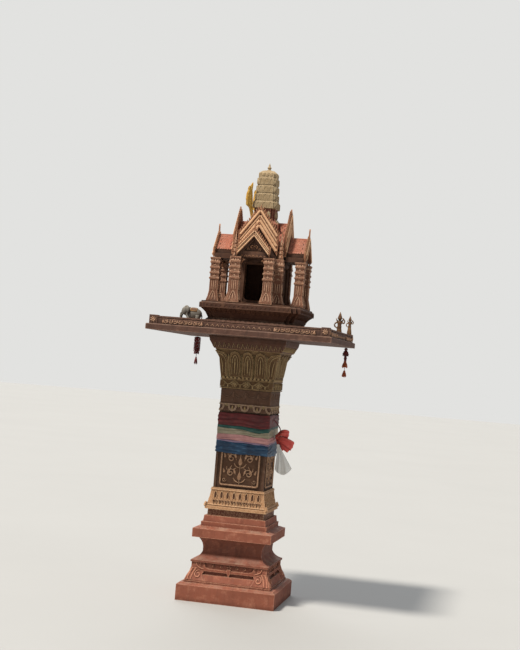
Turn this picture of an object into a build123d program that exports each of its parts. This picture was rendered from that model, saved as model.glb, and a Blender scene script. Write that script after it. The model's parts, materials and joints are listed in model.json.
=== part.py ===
from build123d import *
import math
import os

# A spirit house of painted cast concrete: a moulded pillar on a plinth,
# a square offering tray on its lotus capital, and a small four-porched
# shrine with a tiered tower on the tray. Front is -Y, right is +X.

# Small clearances, and how far a cutting solid runs past what it cuts
soft_gap = 0.3
fit_gap = 0.3
cut_over = 1

# Plinth, its sloped top edge and the sunk fillet on it
plinth_width = 545
plinth_height = 85
plinth_slope_width = 516
plinth_slope_height = 12
fillet_width = 482
fillet_height = 9

# Base on lion feet
lion_height = 101
lion_core_width = 408
lion_knee_width = 420
lion_leg_width = 72
leg_proud = 3
leg_toe = 8
leg_groove_inset = 7
leg_groove_width = 15
leg_groove_depth = 3
cushion_foot_width = 468
cushion_width = 438
cushion_edge = 4
cushion_height = 36
lion_slot = 19
apron_width = 424
apron_height = 13
bracket_length = 28
bracket_height = 26
tongue_width = 19
tongue_length = 42
tongue_overlap = 2
tongue_proud = 3

# Ledge and hollow waist above the lion feet
ledge_width = 432
ledge_height = 10
ledge_slope_height = 47
ledge_hollow = 9
waist_neck_width = 328
waist_neck_height = 20
waist_cove_height = 57
waist_cove_hollow = 6
waist_top_width = 380

# Square cornice with its weathered top, and the sloping step on it
fascia_width = 438
fascia_height = 48
weathering_height = 12
step_width = 366
step_height = 25
slope_width = 350
slope_top_width = 341
slope_height = 34

# Lotus skirt at the foot of the shaft
groove_width = 314
groove_height = 36
skirt_foot_width = 342
skirt_top_width = 296
skirt_height = 118
skirt_lip = 9
skirt_hollow = 5
corner_leaf_size = 30
corner_leaf_proud = 9
corner_leaf_thickness = 12

# Shaft with corner strips and a framed panel on each face
shaft_width = 281
shaft_height = 548
shaft_head_height = 122
corner_strip = 12
sunk_depth = 6
panel_width = 226
panel_foot = 12
panel_height = 392
panel_corner = 18
panel_rim = 10
panel_rim_depth = 7
panel_field_depth = 2

# Loops under the plain band of the shaft, rosettes above the band
ornament_pitch = 70
ornament_count = 5
loop_top = 83
loop_strip = 7
loop_drop = 42
loop_width = 50
loop_rim = 10
loop_depth = 4
collar_height = 55
collar_width = 298
collar_lip = 6
collar_recess = 5
rosette_radius = 19

# Lotus capital and the flared block on it
capital_foot_width = 300
capital_bend_width = 328
capital_bend_rise = 109
capital_width = 379
capital_height = 161
petal_count = 3
petal_pitch = 72
petal_gap = 9
petal_depth = 6
petal_rim = 7
petal_hollow = 3
petal_margin = 11
arch_out = 0.72
arch_up = 0.66
abacus_shoulder_width = 424
abacus_shoulder_rise = 42
abacus_width = 432
abacus_height = 69
abacus_edge = 7

# Offering tray
tray_width = 1000
tray_floor = 48
tray_rim_width = 58
tray_edge_height = 31
tray_edge_chamfer = 4
rail_setback = 18
rail_height = 30
gap_height = 5
gap_setback = 9
coping_height = 8
corner_proud = 4
carved_start = 195
carved_length = 215
carved_depth = 4
carved_margin = 3

# Moulded base of the shrine, of stepped-corner plan
base_reach = 282
base_arm = 238
base_corner = 261
base_foot_height = 20
base_foot_inset = 8
base_fillet = 8
base_hollow_height = 80
base_hollow_inset = 44
base_hollow_rise = 28
base_cove_inset = 29
base_cove_rise = 60
base_cove_top = 6
base_slab_height = 30
base_slab_chamfer = 4
floor_inset = 9
floor_height = 8

# Body of the shrine: four walls between corner piers
body_width = 300
wall_thickness = 22
wall_setback = 10
pier_height = 258
pier_width = 42
pier_foot_spread = 14
pier_foot_height = 64
pier_skip_count = 2
door_width = 122
door_height = 199
door_sill = 22
door_corner = 26
niche_depth = 9

# Porches on the four sides
porch_reach = 240
column_spacing = 184
column_width = 48
column_height = 250
column_foot_spread = 11
column_foot_height = 62
column_foot_block = 9
column_bend_share = 0.4
band_count = 4
band_first = 125
band_step = 30
band_height = 7
band_depth = 4
column_head_height = 16
column_head_spread = 5
beam_height = 26
beam_width = 20

# Gabled porch roofs and the higher cross roof behind them
porch_gable_rise = 88
porch_gable_half = 76
porch_roof_cover = 24
tympanum_depth = 12
tympanum_half = 54
tympanum_foot = 7
cross_gable_rise = 151
cross_roof_cover = 40
cross_roof_front = 137

# Stepped barge boards with their finials
board_depth = 18
porch_board_drop = 38
porch_board_overrun = 12
porch_board_steps = (18, 11, 15)
porch_horn_height = 60
upper_board_drop = 110
upper_board_steps = (18, 15, 10, 16)
upper_horn_height = 30
horn_sink = 12
horn_width = 17
horn_depth = 8
horn_lean = 3

# Pinnacles on the corner piers
pinnacle_foot = 27
pinnacle_clear = 3.5
pinnacle_count = 4
pinnacle_tier_height = 24
pinnacle_taper = 0.86
pinnacle_edge = 4
pinnacle_spike = 84
pinnacle_tip = 2

# Tower
tower_rise = 66
tower_base_width = 176
tower_base_height = 117
tower_flare_height = 33
tower_flare_hollow = 6
tower_neck_width = 120
tower_neck_height = 53
tower_arm_share = 0.74
tower_corner_share = 0.87
tier_first_width = 138
tier_second_width = 121
tier_third_width = 116
tier_top_width = 111
tier_height = 39
tier_gap = 6
tier_inset = 5
tier_edge = 3
cap_width = 100
cap_top_width = 66
cap_edge = 22
cap_height = 37
finial_radius = 11
finial_neck = 5
finial_bulb = 9
finial_height = 46
leaf_height = 190
leaf_foot = 17
leaf_lean = 12
leaf_depth = 10
leaf_sink = 18

# Cloths tied round the shaft
cloth_thickness = 5
red_cloth_low = 955
red_cloth_height = 81
green_cloth_low = 939
green_cloth_height = 15
pink_cloth_low = 874
pink_cloth_height = 64
blue_cloth_low = 804
blue_cloth_height = 69

# Bow and scarf at the right of the shaft
bow_middle = 893
bow_length = 104
bow_height = 118
bow_depth = 70
scarf_top = 868
scarf_drop = 168
scarf_width = 92
scarf_thickness = 6

# Garlands under the rear corners of the tray
garland_inset_side = 62
garland_inset_back = 24
garland_length = 128
garland_radius = 19
garland_neck = 7
tassel_length = 48
tassel_radius = 8

# Small figures on the tray
dancer_height = 158
dancer_width = 48
dancer_inset_side = 30
dancer_inset_back = 42
small_dancer_height = 112
small_dancer_width = 40
animal_length = 92
animal_height = 78
animal_width = 36
animal_inset = 70
animal_front = -60

# Heights that follow from the sizes above
z_fillet = plinth_height + plinth_slope_height
z_lion = z_fillet + fillet_height
z_cushion = z_lion + cushion_height
z_apron = z_cushion + lion_slot
z_ledge = z_lion + lion_height
z_neck = z_ledge + ledge_height + ledge_slope_height
z_cove = z_neck + waist_neck_height
z_fascia = z_cove + waist_cove_height
z_step = z_fascia + fascia_height + weathering_height
z_groove = z_step + step_height + slope_height
z_skirt = z_groove + groove_height
z_shaft = z_skirt + skirt_height
z_collar = z_shaft + shaft_height
z_capital = z_collar + collar_height
z_abacus = z_capital + capital_height
z_tray = z_abacus + abacus_height
z_tray_floor = z_tray + tray_floor
z_rail = z_tray + tray_edge_height
z_rim_top = z_rail + rail_height + gap_height + coping_height
z_base_slab = z_tray_floor + base_foot_height + base_hollow_height
z_floor = z_base_slab + base_slab_height
z_body = z_floor + floor_height
z_pier_top = z_body + pier_height
z_beam = z_body + column_height
z_eaves = z_beam + beam_height
z_tower = z_eaves + tower_rise
z_flare = z_tower + tower_base_height
z_tower_neck = z_flare + tower_flare_height
z_tiers = z_tower_neck + tower_neck_height
tier_pitch = tier_height + tier_gap
tier_widths = (tier_first_width, tier_second_width, tier_third_width, tier_top_width)
z_cap = z_tiers + len(tier_widths) * tier_pitch
z_finial = z_cap + cap_height

# Widths that follow
core_half = shaft_width / 2 - sunk_depth
panel_front = core_half + panel_rim_depth
cloth_half = panel_front + soft_gap
cloth_outside = cloth_half + cloth_thickness
porch_front = porch_reach + beam_width / 2
upper_front = cross_roof_front + board_depth
pier_place = body_width / 2 - pier_width / 2
cross_gable_half = pier_place - pinnacle_foot / 2 - pinnacle_clear
corner_outside = tray_width / 2 - rail_setback + corner_proud
corner_inside = tray_width / 2 - tray_rim_width
corner_place = (corner_outside + corner_inside) / 2
z_corner_top = z_rim_top + corner_proud

SIDES = {"front": 0, "right": 90, "back": 180, "left": 270}


def save(solid, name):
    solid.label = name
    export_step(solid, f"parts/{name}.step")


def turned(solid, angle):
    return Rot(0, 0, angle) * solid


def four(solid):
    """The solid and its copies on the other three sides."""
    copies = [turned(solid, angle) for angle in SIDES.values()]
    return Compound(children=copies)


def bowed_middle(start, end, bow):
    """Middle of an arc that bows out to the right of its way by bow."""
    run_x = end[0] - start[0]
    run_z = end[1] - start[1]
    length = math.hypot(run_x, run_z)
    return (
        (start[0] + end[0]) / 2 + bow * run_z / length,
        (start[1] + end[1]) / 2 - bow * run_x / length,
    )


def edge_run(points):
    """Edges through (out, up) points; a third number bows the run to it."""
    edges = []
    here = points[0]
    for there in points[1:]:
        if len(there) == 3:
            middle = bowed_middle(here, there, there[2])
            edges.append(ThreePointArc(here[:2], middle, there[:2]))
        else:
            edges.append(Line(here[:2], there[:2]))
        here = there
    return edges


def face_of(points):
    """Flat face inside a run of points, closed by a straight line if open."""
    run = list(points)
    if run[-1][:2] != run[0][:2]:
        run.append(run[0][:2])
    face = Face(Wire(edge_run(run)))
    return face if face.normal_at().Z > 0 else -face


def mirrored_face(half, points):
    """Face as wide as twice the moulded edge, which starts at half."""
    right = [(half + p[0], *p[1:]) for p in points]
    left = [(-p[0], p[1], *[-bow for bow in p[2:]]) for p in right]
    edges = edge_run(right) + edge_run(left)
    for end in (right[0], right[-1]):
        edges.append(Line((-end[0], end[1]), (end[0], end[1])))
    return Face(Wire(edges))


def moulding(half_x, half_y, *points):
    """Solid of rectangular plan whose sides all follow one moulded edge."""
    reach = 2 * (max(half_x, half_y) + max(abs(p[0]) for p in points))
    across = extrude(Plane.XZ * mirrored_face(half_x, points), reach, both=True)
    along = extrude(Plane.YZ * mirrored_face(half_y, points), reach, both=True)
    return across & along


def square_moulding(*points):
    return moulding(0, 0, *points)


def eight_sided(*points):
    """Moulding of eight-sided plan."""
    body = square_moulding(*points)
    return body & turned(body, 45)


def stepped_moulding(reach, arm, corner, *points):
    """Moulding on a square plan whose corners step in twice."""
    return (
        moulding(reach, arm, *points)
        + moulding(arm, reach, *points)
        + moulding(corner, corner, *points)
    )


def tower_moulding(half, *points):
    return stepped_moulding(
        half, tower_arm_share * half, tower_corner_share * half, *points
    )


def square_ring(inner, outer, low, height):
    """Square tube, inner and outer being full widths."""
    plan = Rectangle(outer, outer) - Rectangle(inner, inner)
    return Pos(0, 0, low) * extrude(plan, height)


def front_plate(face, front, depth):
    """Face drawn in X and Z, made solid from y = front towards the back."""
    return Pos(0, front + depth, 0) * extrude(Plane.XZ * face, depth)


def front_wedge(reach, low, height):
    """Quarter of the plan in front of both diagonals."""
    plan = face_of([(0, 0), (-reach, -reach), (reach, -reach)])
    return Pos(0, 0, low) * extrude(plan, height)


def swapped(solid):
    """The solid of a front right corner with its two faces changed over."""
    return mirror(solid, about=Plane(origin=(0, 0, 0), z_dir=(1, 1, 0)))


def arched_outline(middle, half, foot, tip, head):
    """Upright outline with straight sides under an arch of four flats."""
    shoulder = tip - head
    cheek = arch_out * half
    rise = shoulder + arch_up * head
    return face_of(
        [
            (middle - half, foot),
            (middle + half, foot),
            (middle + half, shoulder),
            (middle + cheek, rise),
            (middle, tip),
            (middle - cheek, rise),
            (middle - half, shoulder),
        ]
    )


def wrapped(row, width, depth, low, high):
    """Front row of relief on all faces of a square body, cut at its outside."""
    rows = Part()
    for angle in SIDES.values():
        rows += turned(row, angle)
    return rows & square_ring(width, width + 2 * depth, low, high - low)


def ornament_places():
    """Middles of the ornaments along a face, the outer two at its corners."""
    for i in range(ornament_count):
        yield (i - (ornament_count - 1) / 2) * ornament_pitch


def plinth():
    base = plinth_width / 2
    top = plinth_slope_width / 2
    fillet = fillet_width / 2
    return square_moulding(
        (base, 0), (base, plinth_height), (top, z_fillet),
        (fillet, z_fillet), (fillet, z_lion),
    )


def lion_leg():
    """Leg at the front right corner, drawn alike from both faces."""
    knee = lion_knee_width / 2
    foot = cushion_foot_width / 2 + leg_proud
    body = square_moulding(
        (foot, z_lion),
        (foot, z_lion + cushion_edge + leg_proud),
        (cushion_width / 2 + leg_proud, z_cushion),
        (knee, z_apron),
        (knee, z_ledge),
    )
    inner = knee - lion_leg_width
    outline = face_of(
        [
            (inner - leg_toe, z_lion),
            (foot + leg_toe, z_lion),
            (foot + leg_toe, z_ledge),
            (inner, z_ledge),
            (inner, z_apron),
            (inner + leg_toe, z_cushion),
        ]
    )
    cut = extrude(Plane.XZ * outline, foot * 2)
    groove_x = inner + leg_groove_inset + leg_groove_width / 2
    strip = Pos(groove_x, (z_apron + z_ledge) / 2) * Rectangle(
        leg_groove_width, z_ledge - z_apron
    )
    groove = front_plate(strip, -knee - cut_over, leg_groove_depth + cut_over)
    return (body & cut & swapped(cut)) - groove - swapped(groove)


def lion_bracket():
    """Curved bracket where the apron meets the right leg of the front."""
    inner = lion_knee_width / 2 - lion_leg_width
    low = z_apron + apron_height
    outline = face_of(
        [
            (inner - bracket_length, low),
            (inner, low),
            (inner, low + bracket_height),
            (inner - bracket_length / 3, low + bracket_height / 4),
        ]
    )
    return front_plate(outline, -apron_width / 2, (apron_width - lion_core_width) / 2)


def lion_tongue():
    half = tongue_width / 2
    top = z_cushion - tongue_overlap + tongue_length
    outline = face_of(
        [
            (-half, top),
            (-half, z_apron),
            (0, z_cushion - tongue_overlap),
            (half, z_apron),
            (half, top),
        ]
    )
    depth = (apron_width - lion_core_width) / 2 + tongue_proud
    return front_plate(outline, -apron_width / 2 - tongue_proud, depth)


def lion_foot_base():
    core = square_moulding(
        (lion_core_width / 2, z_lion), (lion_core_width / 2, z_ledge)
    )
    cushion = square_moulding(
        (cushion_foot_width / 2, z_lion),
        (cushion_foot_width / 2, z_lion + cushion_edge),
        (cushion_width / 2, z_cushion),
    )
    apron = square_moulding(
        (apron_width / 2, z_apron), (apron_width / 2, z_apron + apron_height)
    )
    bracket = lion_bracket()
    brackets = four(bracket) + four(mirror(bracket, about=Plane.YZ))
    return core + cushion + apron + brackets + four(lion_tongue()) + four(lion_leg())


def base_waist():
    ledge = ledge_width / 2
    neck = waist_neck_width / 2
    return square_moulding(
        (ledge, z_ledge),
        (ledge, z_ledge + ledge_height),
        (neck, z_neck, -ledge_hollow),
        (neck, z_cove),
        (waist_top_width / 2, z_fascia, -waist_cove_hollow),
    )


def base_fascia():
    edge = fascia_width / 2
    step = step_width / 2
    return square_moulding(
        (edge, z_fascia),
        (edge, z_fascia + fascia_height),
        (step, z_step),
        (step, z_step + step_height),
        (slope_width / 2, z_step + step_height),
        (slope_top_width / 2, z_groove),
    )


def lotus_skirt():
    foot = skirt_foot_width / 2
    lip = z_skirt + skirt_lip
    skirt = square_moulding(
        (groove_width / 2, z_groove),
        (groove_width / 2, z_skirt),
        (foot, z_skirt),
        (foot, lip),
        (skirt_top_width / 2, z_shaft, -skirt_hollow),
    )
    reach = math.sqrt(2) * (foot + corner_leaf_proud) - corner_leaf_thickness / 2
    leaf = face_of(
        [
            (reach - corner_leaf_size, lip),
            (reach - corner_leaf_proud, lip),
            (reach, lip + corner_leaf_size / 3),
            (reach - corner_leaf_proud, lip + corner_leaf_size),
            (reach - corner_leaf_size, lip + corner_leaf_size / 2),
        ]
    )
    corner = extrude(Plane.XZ * leaf, corner_leaf_thickness / 2, both=True)
    return skirt + turned(four(corner), 45)


def shaft():
    """Square shaft with sunk faces between corner strips, plain at its head."""
    half = shaft_width / 2
    body = square_moulding((half, z_shaft), (half, z_collar))
    height = shaft_height - shaft_head_height
    sunk = Pos(0, z_shaft + height / 2) * Rectangle(
        shaft_width - 2 * corner_strip, height
    )
    return body - four(front_plate(sunk, -half - cut_over, sunk_depth + cut_over))


def shaft_panel():
    """Frame with rounded corners round a flat carved field, front face."""
    centre = z_shaft + panel_foot + panel_height / 2
    outer = RectangleRounded(panel_width, panel_height, panel_corner)
    inner = RectangleRounded(
        panel_width - 2 * panel_rim,
        panel_height - 2 * panel_rim,
        panel_corner - panel_rim / 2,
    )
    face = Pos(0, centre) * (outer - inner)
    field = Pos(0, centre) * outer
    rim = front_plate(face, -core_half - panel_rim_depth, panel_rim_depth)
    back = front_plate(field, -core_half - panel_field_depth, panel_field_depth)
    return rim + back


def shaft_pendants():
    """Row of open loops that hang from a thin strip on the four faces."""
    high = z_collar - loop_top
    low = high - loop_drop
    half = loop_width / 2
    inner = half - loop_rim
    row = Pos(0, high - loop_strip / 2) * Rectangle(
        shaft_width + 2 * loop_depth, loop_strip
    )
    for x in ornament_places():
        row += arched_outline(x, half, high, low, -half)
        row -= arched_outline(x, inner, high - loop_strip, low + loop_rim, -inner)
    plate = front_plate(row, -shaft_width / 2 - loop_depth, loop_depth)
    return wrapped(plate, shaft_width, loop_depth, low, high)


def capital_collar():
    half = collar_width / 2
    field = half - collar_recess
    high = z_capital - collar_lip
    body = square_moulding(
        (half, z_collar),
        (half, z_collar + collar_lip),
        (field, z_collar + collar_lip),
        (field, high),
        (half, high),
        (half, z_capital),
    )
    middle = (z_collar + z_capital) / 2
    row = Part()
    for x in ornament_places():
        disc = Pos(x, middle) * RegularPolygon(rosette_radius, 8)
        row += front_plate(disc, -half, collar_recess)
    return body + wrapped(row, 2 * field, collar_recess, z_collar, z_capital)


def capital_edge(inset):
    """Edge of the capital, set in from its outside."""
    return (
        (capital_foot_width / 2 - inset, z_capital),
        (capital_bend_width / 2 - inset, z_capital + capital_bend_rise),
        (capital_width / 2 - inset, z_abacus),
    )


def petal_places():
    """Middle and half width of each petal along a face, corner ones last."""
    half = (petal_pitch - petal_gap) / 2
    for i in range(petal_count):
        yield (i - (petal_count - 1) / 2) * petal_pitch, half
    start = petal_count * petal_pitch / 2 + petal_gap / 2
    corner = capital_width / 2 - petal_depth
    yield corner, corner - start
    yield -corner, corner - start


def lotus_capital():
    low = z_capital + petal_margin
    high = z_abacus - petal_margin
    head = (petal_pitch - petal_gap) / 2
    core = square_moulding(*capital_edge(petal_depth))
    rim_shell = square_moulding(*capital_edge(0))
    field_shell = square_moulding(*capital_edge(petal_hollow))
    wedge = front_wedge(capital_width, z_capital, capital_height)
    rims = Part()
    fields = Part()
    for middle, half in petal_places():
        full = arched_outline(middle, half, low, high, head)
        small = arched_outline(
            middle, half - petal_rim, low - cut_over, high - petal_rim, head
        )
        rims += front_plate(full - small, -capital_width, capital_width)
        fields += front_plate(full, -capital_width, capital_width)
    face = ((rims & rim_shell) + (fields & field_shell)) & wedge
    return core + face + turned(face, 90) + turned(face, 180) + turned(face, 270)


def abacus():
    top = abacus_width / 2
    return square_moulding(
        (capital_width / 2, z_abacus),
        (abacus_shoulder_width / 2, z_abacus + abacus_shoulder_rise),
        (top, z_tray - abacus_edge),
        (top, z_tray),
    )


def tray_slab():
    return square_moulding((corner_inside, z_tray), (corner_inside, z_tray_floor))


def tray_rim():
    """Front rim: plain lower edge, carved rail, shadow gap and coping."""
    half = tray_width / 2
    rail = half - rail_setback
    shade = rail - gap_setback
    z_gap = z_rail + rail_height
    z_coping = z_gap + gap_height
    section = face_of(
        [
            (corner_inside, z_tray),
            (half, z_tray),
            (half, z_rail - tray_edge_chamfer),
            (half - tray_edge_chamfer, z_rail),
            (rail, z_rail),
            (rail, z_gap),
            (shade, z_gap),
            (shade, z_coping),
            (rail, z_coping),
            (rail, z_rim_top),
            (corner_inside, z_rim_top),
        ]
    )
    bar = turned(extrude(Plane.YZ * section, tray_width, both=True), 180)
    bar = bar & front_wedge(tray_width, z_tray, z_rim_top - z_tray)
    block = corner_block(fit_gap)
    bar -= block
    bar -= mirror(block, about=Plane.YZ)
    for side in (-1, 1):
        x = side * (carved_start + carved_length / 2)
        plate = Pos(x, z_rail + rail_height / 2) * Rectangle(
            carved_length, rail_height - 2 * carved_margin
        )
        bar += front_plate(plate, -rail - carved_depth, carved_depth)
    return bar


def corner_block(grow=0.0):
    """Block that ends the rails, front right corner, standing on the edge."""
    side = corner_outside - corner_inside + 2 * grow
    height = z_corner_top - z_rail + grow
    plan = Rectangle(side, side)
    return Pos(corner_place, -corner_place, z_rail) * extrude(plan, height)


def shrine_base():
    foot = z_tray_floor + base_foot_height
    return stepped_moulding(
        base_reach, base_arm, base_corner,
        (-base_foot_inset, z_tray_floor),
        (-base_foot_inset, foot),
        (-base_foot_inset - base_fillet, foot),
        (-base_hollow_inset, foot + base_hollow_rise),
        (-base_cove_inset, foot + base_cove_rise),
        (-base_cove_top, z_base_slab),
        (0, z_base_slab),
        (0, z_floor - base_slab_chamfer),
        (-base_slab_chamfer, z_floor),
    )


def shrine_floor():
    return stepped_moulding(
        base_reach - floor_inset,
        base_arm - floor_inset,
        base_corner - floor_inset,
        (0, z_floor),
        (0, z_body),
    )


def door_outline():
    """Opening with a square head and rounded lower corners."""
    half = door_width / 2
    low = z_body + door_sill
    bow = door_corner * (math.sqrt(2) - 1) / math.sqrt(2)
    return face_of(
        [
            (-half + door_corner, low),
            (half - door_corner, low),
            (half, low + door_corner, bow),
            (half, low + door_height),
            (-half, low + door_height),
            (-half, low + door_corner),
            (-half + door_corner, low, bow),
        ]
    )


def wall(open_through):
    """Front wall between the corner piers, with a doorway or a niche."""
    half = body_width / 2 - pier_width - fit_gap
    front = -body_width / 2 + wall_setback
    plain = Pos(0, (z_body + z_eaves) / 2) * Rectangle(2 * half, z_eaves - z_body)
    if open_through:
        return front_plate(plain - door_outline(), front, wall_thickness)
    niche = front_plate(door_outline(), front - cut_over, niche_depth + cut_over)
    return front_plate(plain, front, wall_thickness) - niche


def flared_post(width, spread, foot_height, high, first_band):
    """Square post with a foot that sweeps outwards and bands round it."""
    half = width / 2
    bend = z_body + column_foot_block + column_bend_share * foot_height
    post = square_moulding(
        (half + spread, z_body),
        (half + spread, z_body + column_foot_block),
        (half + column_bend_share * spread, bend),
        (half, z_body + foot_height),
        (half, high),
    )
    for i in range(first_band, band_count):
        z = z_body + band_first + i * band_step
        post += square_moulding(
            (half, z),
            (half + band_depth, z + band_depth),
            (half + band_depth, z + band_depth + band_height),
            (half, z + 2 * band_depth + band_height),
        )
    return post


def corner_pier():
    """Pier at the front right corner of the body, plain where walls meet it."""
    post = flared_post(
        pier_width, pier_foot_spread, pier_foot_height, z_pier_top, pier_skip_count
    )
    keep = body_width / 2 - pier_width
    plan = Rectangle(2 * body_width, 2 * keep) + Rectangle(2 * keep, 2 * body_width)
    clear = Pos(0, 0, z_body) * extrude(plan, pier_height)
    return Pos(pier_place, -pier_place, 0) * post - clear


def porch_columns():
    """The two columns of the front porch."""
    half = column_width / 2
    post = flared_post(column_width, column_foot_spread, column_foot_height, z_beam, 0)
    post += square_moulding(
        (half, z_beam - column_head_height),
        (half + column_head_spread, z_beam - column_head_height / 2),
        (half + column_head_spread, z_beam),
    )
    places = (-column_spacing / 2, column_spacing / 2)
    return Compound(children=[Pos(x, -porch_reach, 0) * post for x in places])


def porch_beam():
    """Beams of the front porch with the flat ceiling between them."""
    half = (column_spacing + beam_width) / 2
    back = body_width / 2 + band_depth + fit_gap
    plan = Pos(0, -(porch_front + back) / 2) * Rectangle(2 * half, porch_front - back)
    return Pos(0, 0, z_beam) * extrude(plan, beam_height)


def gable_outline(half, rise, cover):
    """Gable under its roof covering, upright at the eaves."""
    return face_of(
        [
            (-half, z_eaves),
            (half, z_eaves),
            (half, z_eaves + cover),
            (0, z_eaves + rise + cover),
            (-half, z_eaves + cover),
        ]
    )


def cross_roof():
    outline = gable_outline(cross_gable_half, cross_gable_rise, cross_roof_cover)
    long_roof = front_plate(outline, -cross_roof_front, 2 * cross_roof_front)
    return long_roof + turned(long_roof, 90)


def porch_roof():
    """Roof over the front porch, with a sunk tympanum."""
    outline = gable_outline(porch_gable_half, porch_gable_rise, porch_roof_cover)
    depth = porch_front - upper_front - fit_gap
    roof = front_plate(outline, -porch_front, depth)
    rise = porch_gable_rise * tympanum_half / porch_gable_half
    low = z_eaves + tympanum_foot
    sunk = face_of([(-tympanum_half, low), (tympanum_half, low), (0, low + rise)])
    return roof - front_plate(sunk, -porch_front - cut_over, tympanum_depth + cut_over)


def horn(height):
    """Slender flame that stands up from the origin and leans a little."""
    half = horn_width / 2
    face = face_of(
        [
            (-half, 0),
            (half, 0),
            (half * 2 / 3, height / 3),
            (horn_lean, height),
            (-half / 2, height / 3),
        ]
    )
    return extrude(Plane.XZ * face, horn_depth / 2, both=True)


def barge_boards(half, rise, overrun, front, drop, steps, horn_height):
    """Sloping boards stepped in strips from the inside out, with a finial."""
    foot_x = half + overrun
    foot_z = z_eaves - overrun * rise / half
    ridge_z = z_eaves + rise
    strip = drop / len(steps)
    boards = Part()
    for i, depth in enumerate(steps):
        under = i * strip
        over = under + strip
        face = face_of(
            [
                (foot_x, foot_z + under),
                (foot_x, foot_z + over),
                (0, ridge_z + over),
                (-foot_x, foot_z + over),
                (-foot_x, foot_z + under),
                (0, ridge_z + under),
            ]
        )
        boards += front_plate(face, -front - depth, depth)
    finial = Pos(0, -front - board_depth / 2, ridge_z + drop - horn_sink)
    return boards + finial * horn(horn_height)


def porch_gable():
    return barge_boards(
        porch_gable_half, porch_gable_rise, porch_board_overrun, porch_front,
        porch_board_drop, porch_board_steps, porch_horn_height,
    )


def upper_gable():
    return barge_boards(
        cross_gable_half, cross_gable_rise, 0, cross_roof_front,
        upper_board_drop, upper_board_steps, upper_horn_height,
    )


def pinnacle():
    """Stack of square tiers under a spike, front right corner."""
    z = z_pier_top
    half = pinnacle_foot / 2
    stack = Part()
    for _ in range(pinnacle_count):
        top = z + pinnacle_tier_height
        stack += square_moulding(
            (half - pinnacle_edge, z),
            (half, z + pinnacle_edge),
            (half, top - pinnacle_edge),
            (half - pinnacle_edge, top),
        )
        z = top
        half *= pinnacle_taper
    stack += square_moulding((half - pinnacle_edge, z), (pinnacle_tip / 2, z + pinnacle_spike))
    return Pos(pier_place, -pier_place, 0) * stack


def tower_base():
    half = tower_base_width / 2
    neck = tower_neck_width / 2
    body = tower_moulding(
        half,
        (0, z_tower),
        (0, z_flare),
        (neck - half, z_tower_neck, -tower_flare_hollow),
        (neck - half, z_tiers),
    )
    return body - cross_roof()


def tower_tiers():
    stack = Part()
    z = z_tiers
    for width in tier_widths:
        stack += tower_moulding(
            width / 2,
            (-tier_inset, z),
            (0, z + tier_edge),
            (0, z + tier_height - tier_edge),
            (-tier_inset, z + tier_height),
            (-tier_inset, z + tier_pitch),
        )
        z += tier_pitch
    return stack


def tower_cap():
    inset = (cap_width - cap_top_width) / 2
    return tower_moulding(
        cap_width / 2, (0, z_cap), (0, z_cap + cap_edge), (-inset, z_finial)
    )


def tower_finial():
    return eight_sided(
        (finial_radius, z_finial),
        (finial_neck, z_finial + finial_height / 5),
        (finial_bulb, z_finial + 2 * finial_height / 5),
        (pinnacle_tip, z_finial + finial_height),
    )


def tower_leaf():
    """Flame-shaped leaf on the flare of the tower, at a left corner."""
    inner = math.sqrt(2) * tower_corner_share * tier_first_width / 2 + soft_gap
    low = z_flare + leaf_sink - leaf_foot
    face = face_of(
        [
            (inner, low),
            (inner + leaf_foot, low),
            (inner + leaf_foot, low + leaf_height / 2),
            (inner + leaf_foot + leaf_lean, low + leaf_height),
            (inner + leaf_lean, low + 3 * leaf_height / 4),
            (inner, low + leaf_height / 2),
        ]
    )
    return extrude(Plane.XZ * face, leaf_depth / 2, both=True)


def tower_leaves():
    pair = turned(tower_leaf(), 135) + turned(tower_leaf(), 225)
    return pair - tower_base()


def cloth_ring(level, height):
    return square_ring(2 * cloth_half, 2 * cloth_outside, level, height)


def bow():
    """Plain body of the tied bow on the right of the shaft."""
    start = cloth_outside + soft_gap
    face = face_of(
        [
            (start, bow_middle - bow_height / 4),
            (start + bow_length, bow_middle - bow_height / 2),
            (start + bow_length, bow_middle + bow_height / 3),
            (start, bow_middle + bow_height / 2),
        ]
    )
    return extrude(Plane.XZ * face, bow_depth / 2, both=True)


def scarf():
    """Plain body of the white scarf end that hangs below the bow."""
    start = cloth_outside + soft_gap
    low = scarf_top - scarf_drop
    knot = bow_middle - bow_height / 4
    face = face_of(
        [
            (start, low + scarf_drop / 8),
            (start + scarf_width / 2, low),
            (start + scarf_width, low + scarf_drop / 4),
            (start + scarf_width / 6, knot),
            (start, knot),
        ]
    )
    return front_plate(face, -bow_depth / 2 - scarf_thickness, scarf_thickness)


def garland(side):
    """Roll of petals with a tassel, hung under a rear corner of the tray."""
    top = z_tray - soft_gap
    low = top - garland_length
    shoulder = garland_radius - garland_neck
    body = eight_sided(
        (garland_neck, top),
        (garland_radius, top - shoulder),
        (garland_radius, low + shoulder),
        (tassel_radius, low),
        (tassel_radius, low - tassel_length),
    )
    x = side * (tray_width / 2 - garland_inset_side)
    return Pos(x, tray_width / 2 - garland_inset_back, 0) * body


def figure(height, width):
    """Small dancer in a wide skirt with bent arms and a tall pointed crown."""
    half = width / 2
    waist = 0.46 * height
    shoulder = 0.64 * height
    chin = 0.72 * height
    body = eight_sided(
        (half, 0),
        (half, height / 20),
        (half * 2 / 3, height / 4),
        (half / 3, waist),
        (half / 2, shoulder),
        (half / 5, chin),
        (half / 3, chin + height / 20),
        (half / 3, chin + height / 8),
        (half / 20, height),
    )
    arm = face_of(
        [
            (half / 3, shoulder),
            (half / 3, shoulder - height / 16),
            (half - height / 16, waist + height / 16),
            (half / 3, waist),
            (half / 3, waist - height / 16),
            (half, waist),
            (half, waist + height / 10),
        ]
    )
    arm = extrude(Plane.XZ * arm, height / 32, both=True)
    return body + arm + mirror(arm, about=Plane.YZ)


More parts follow.
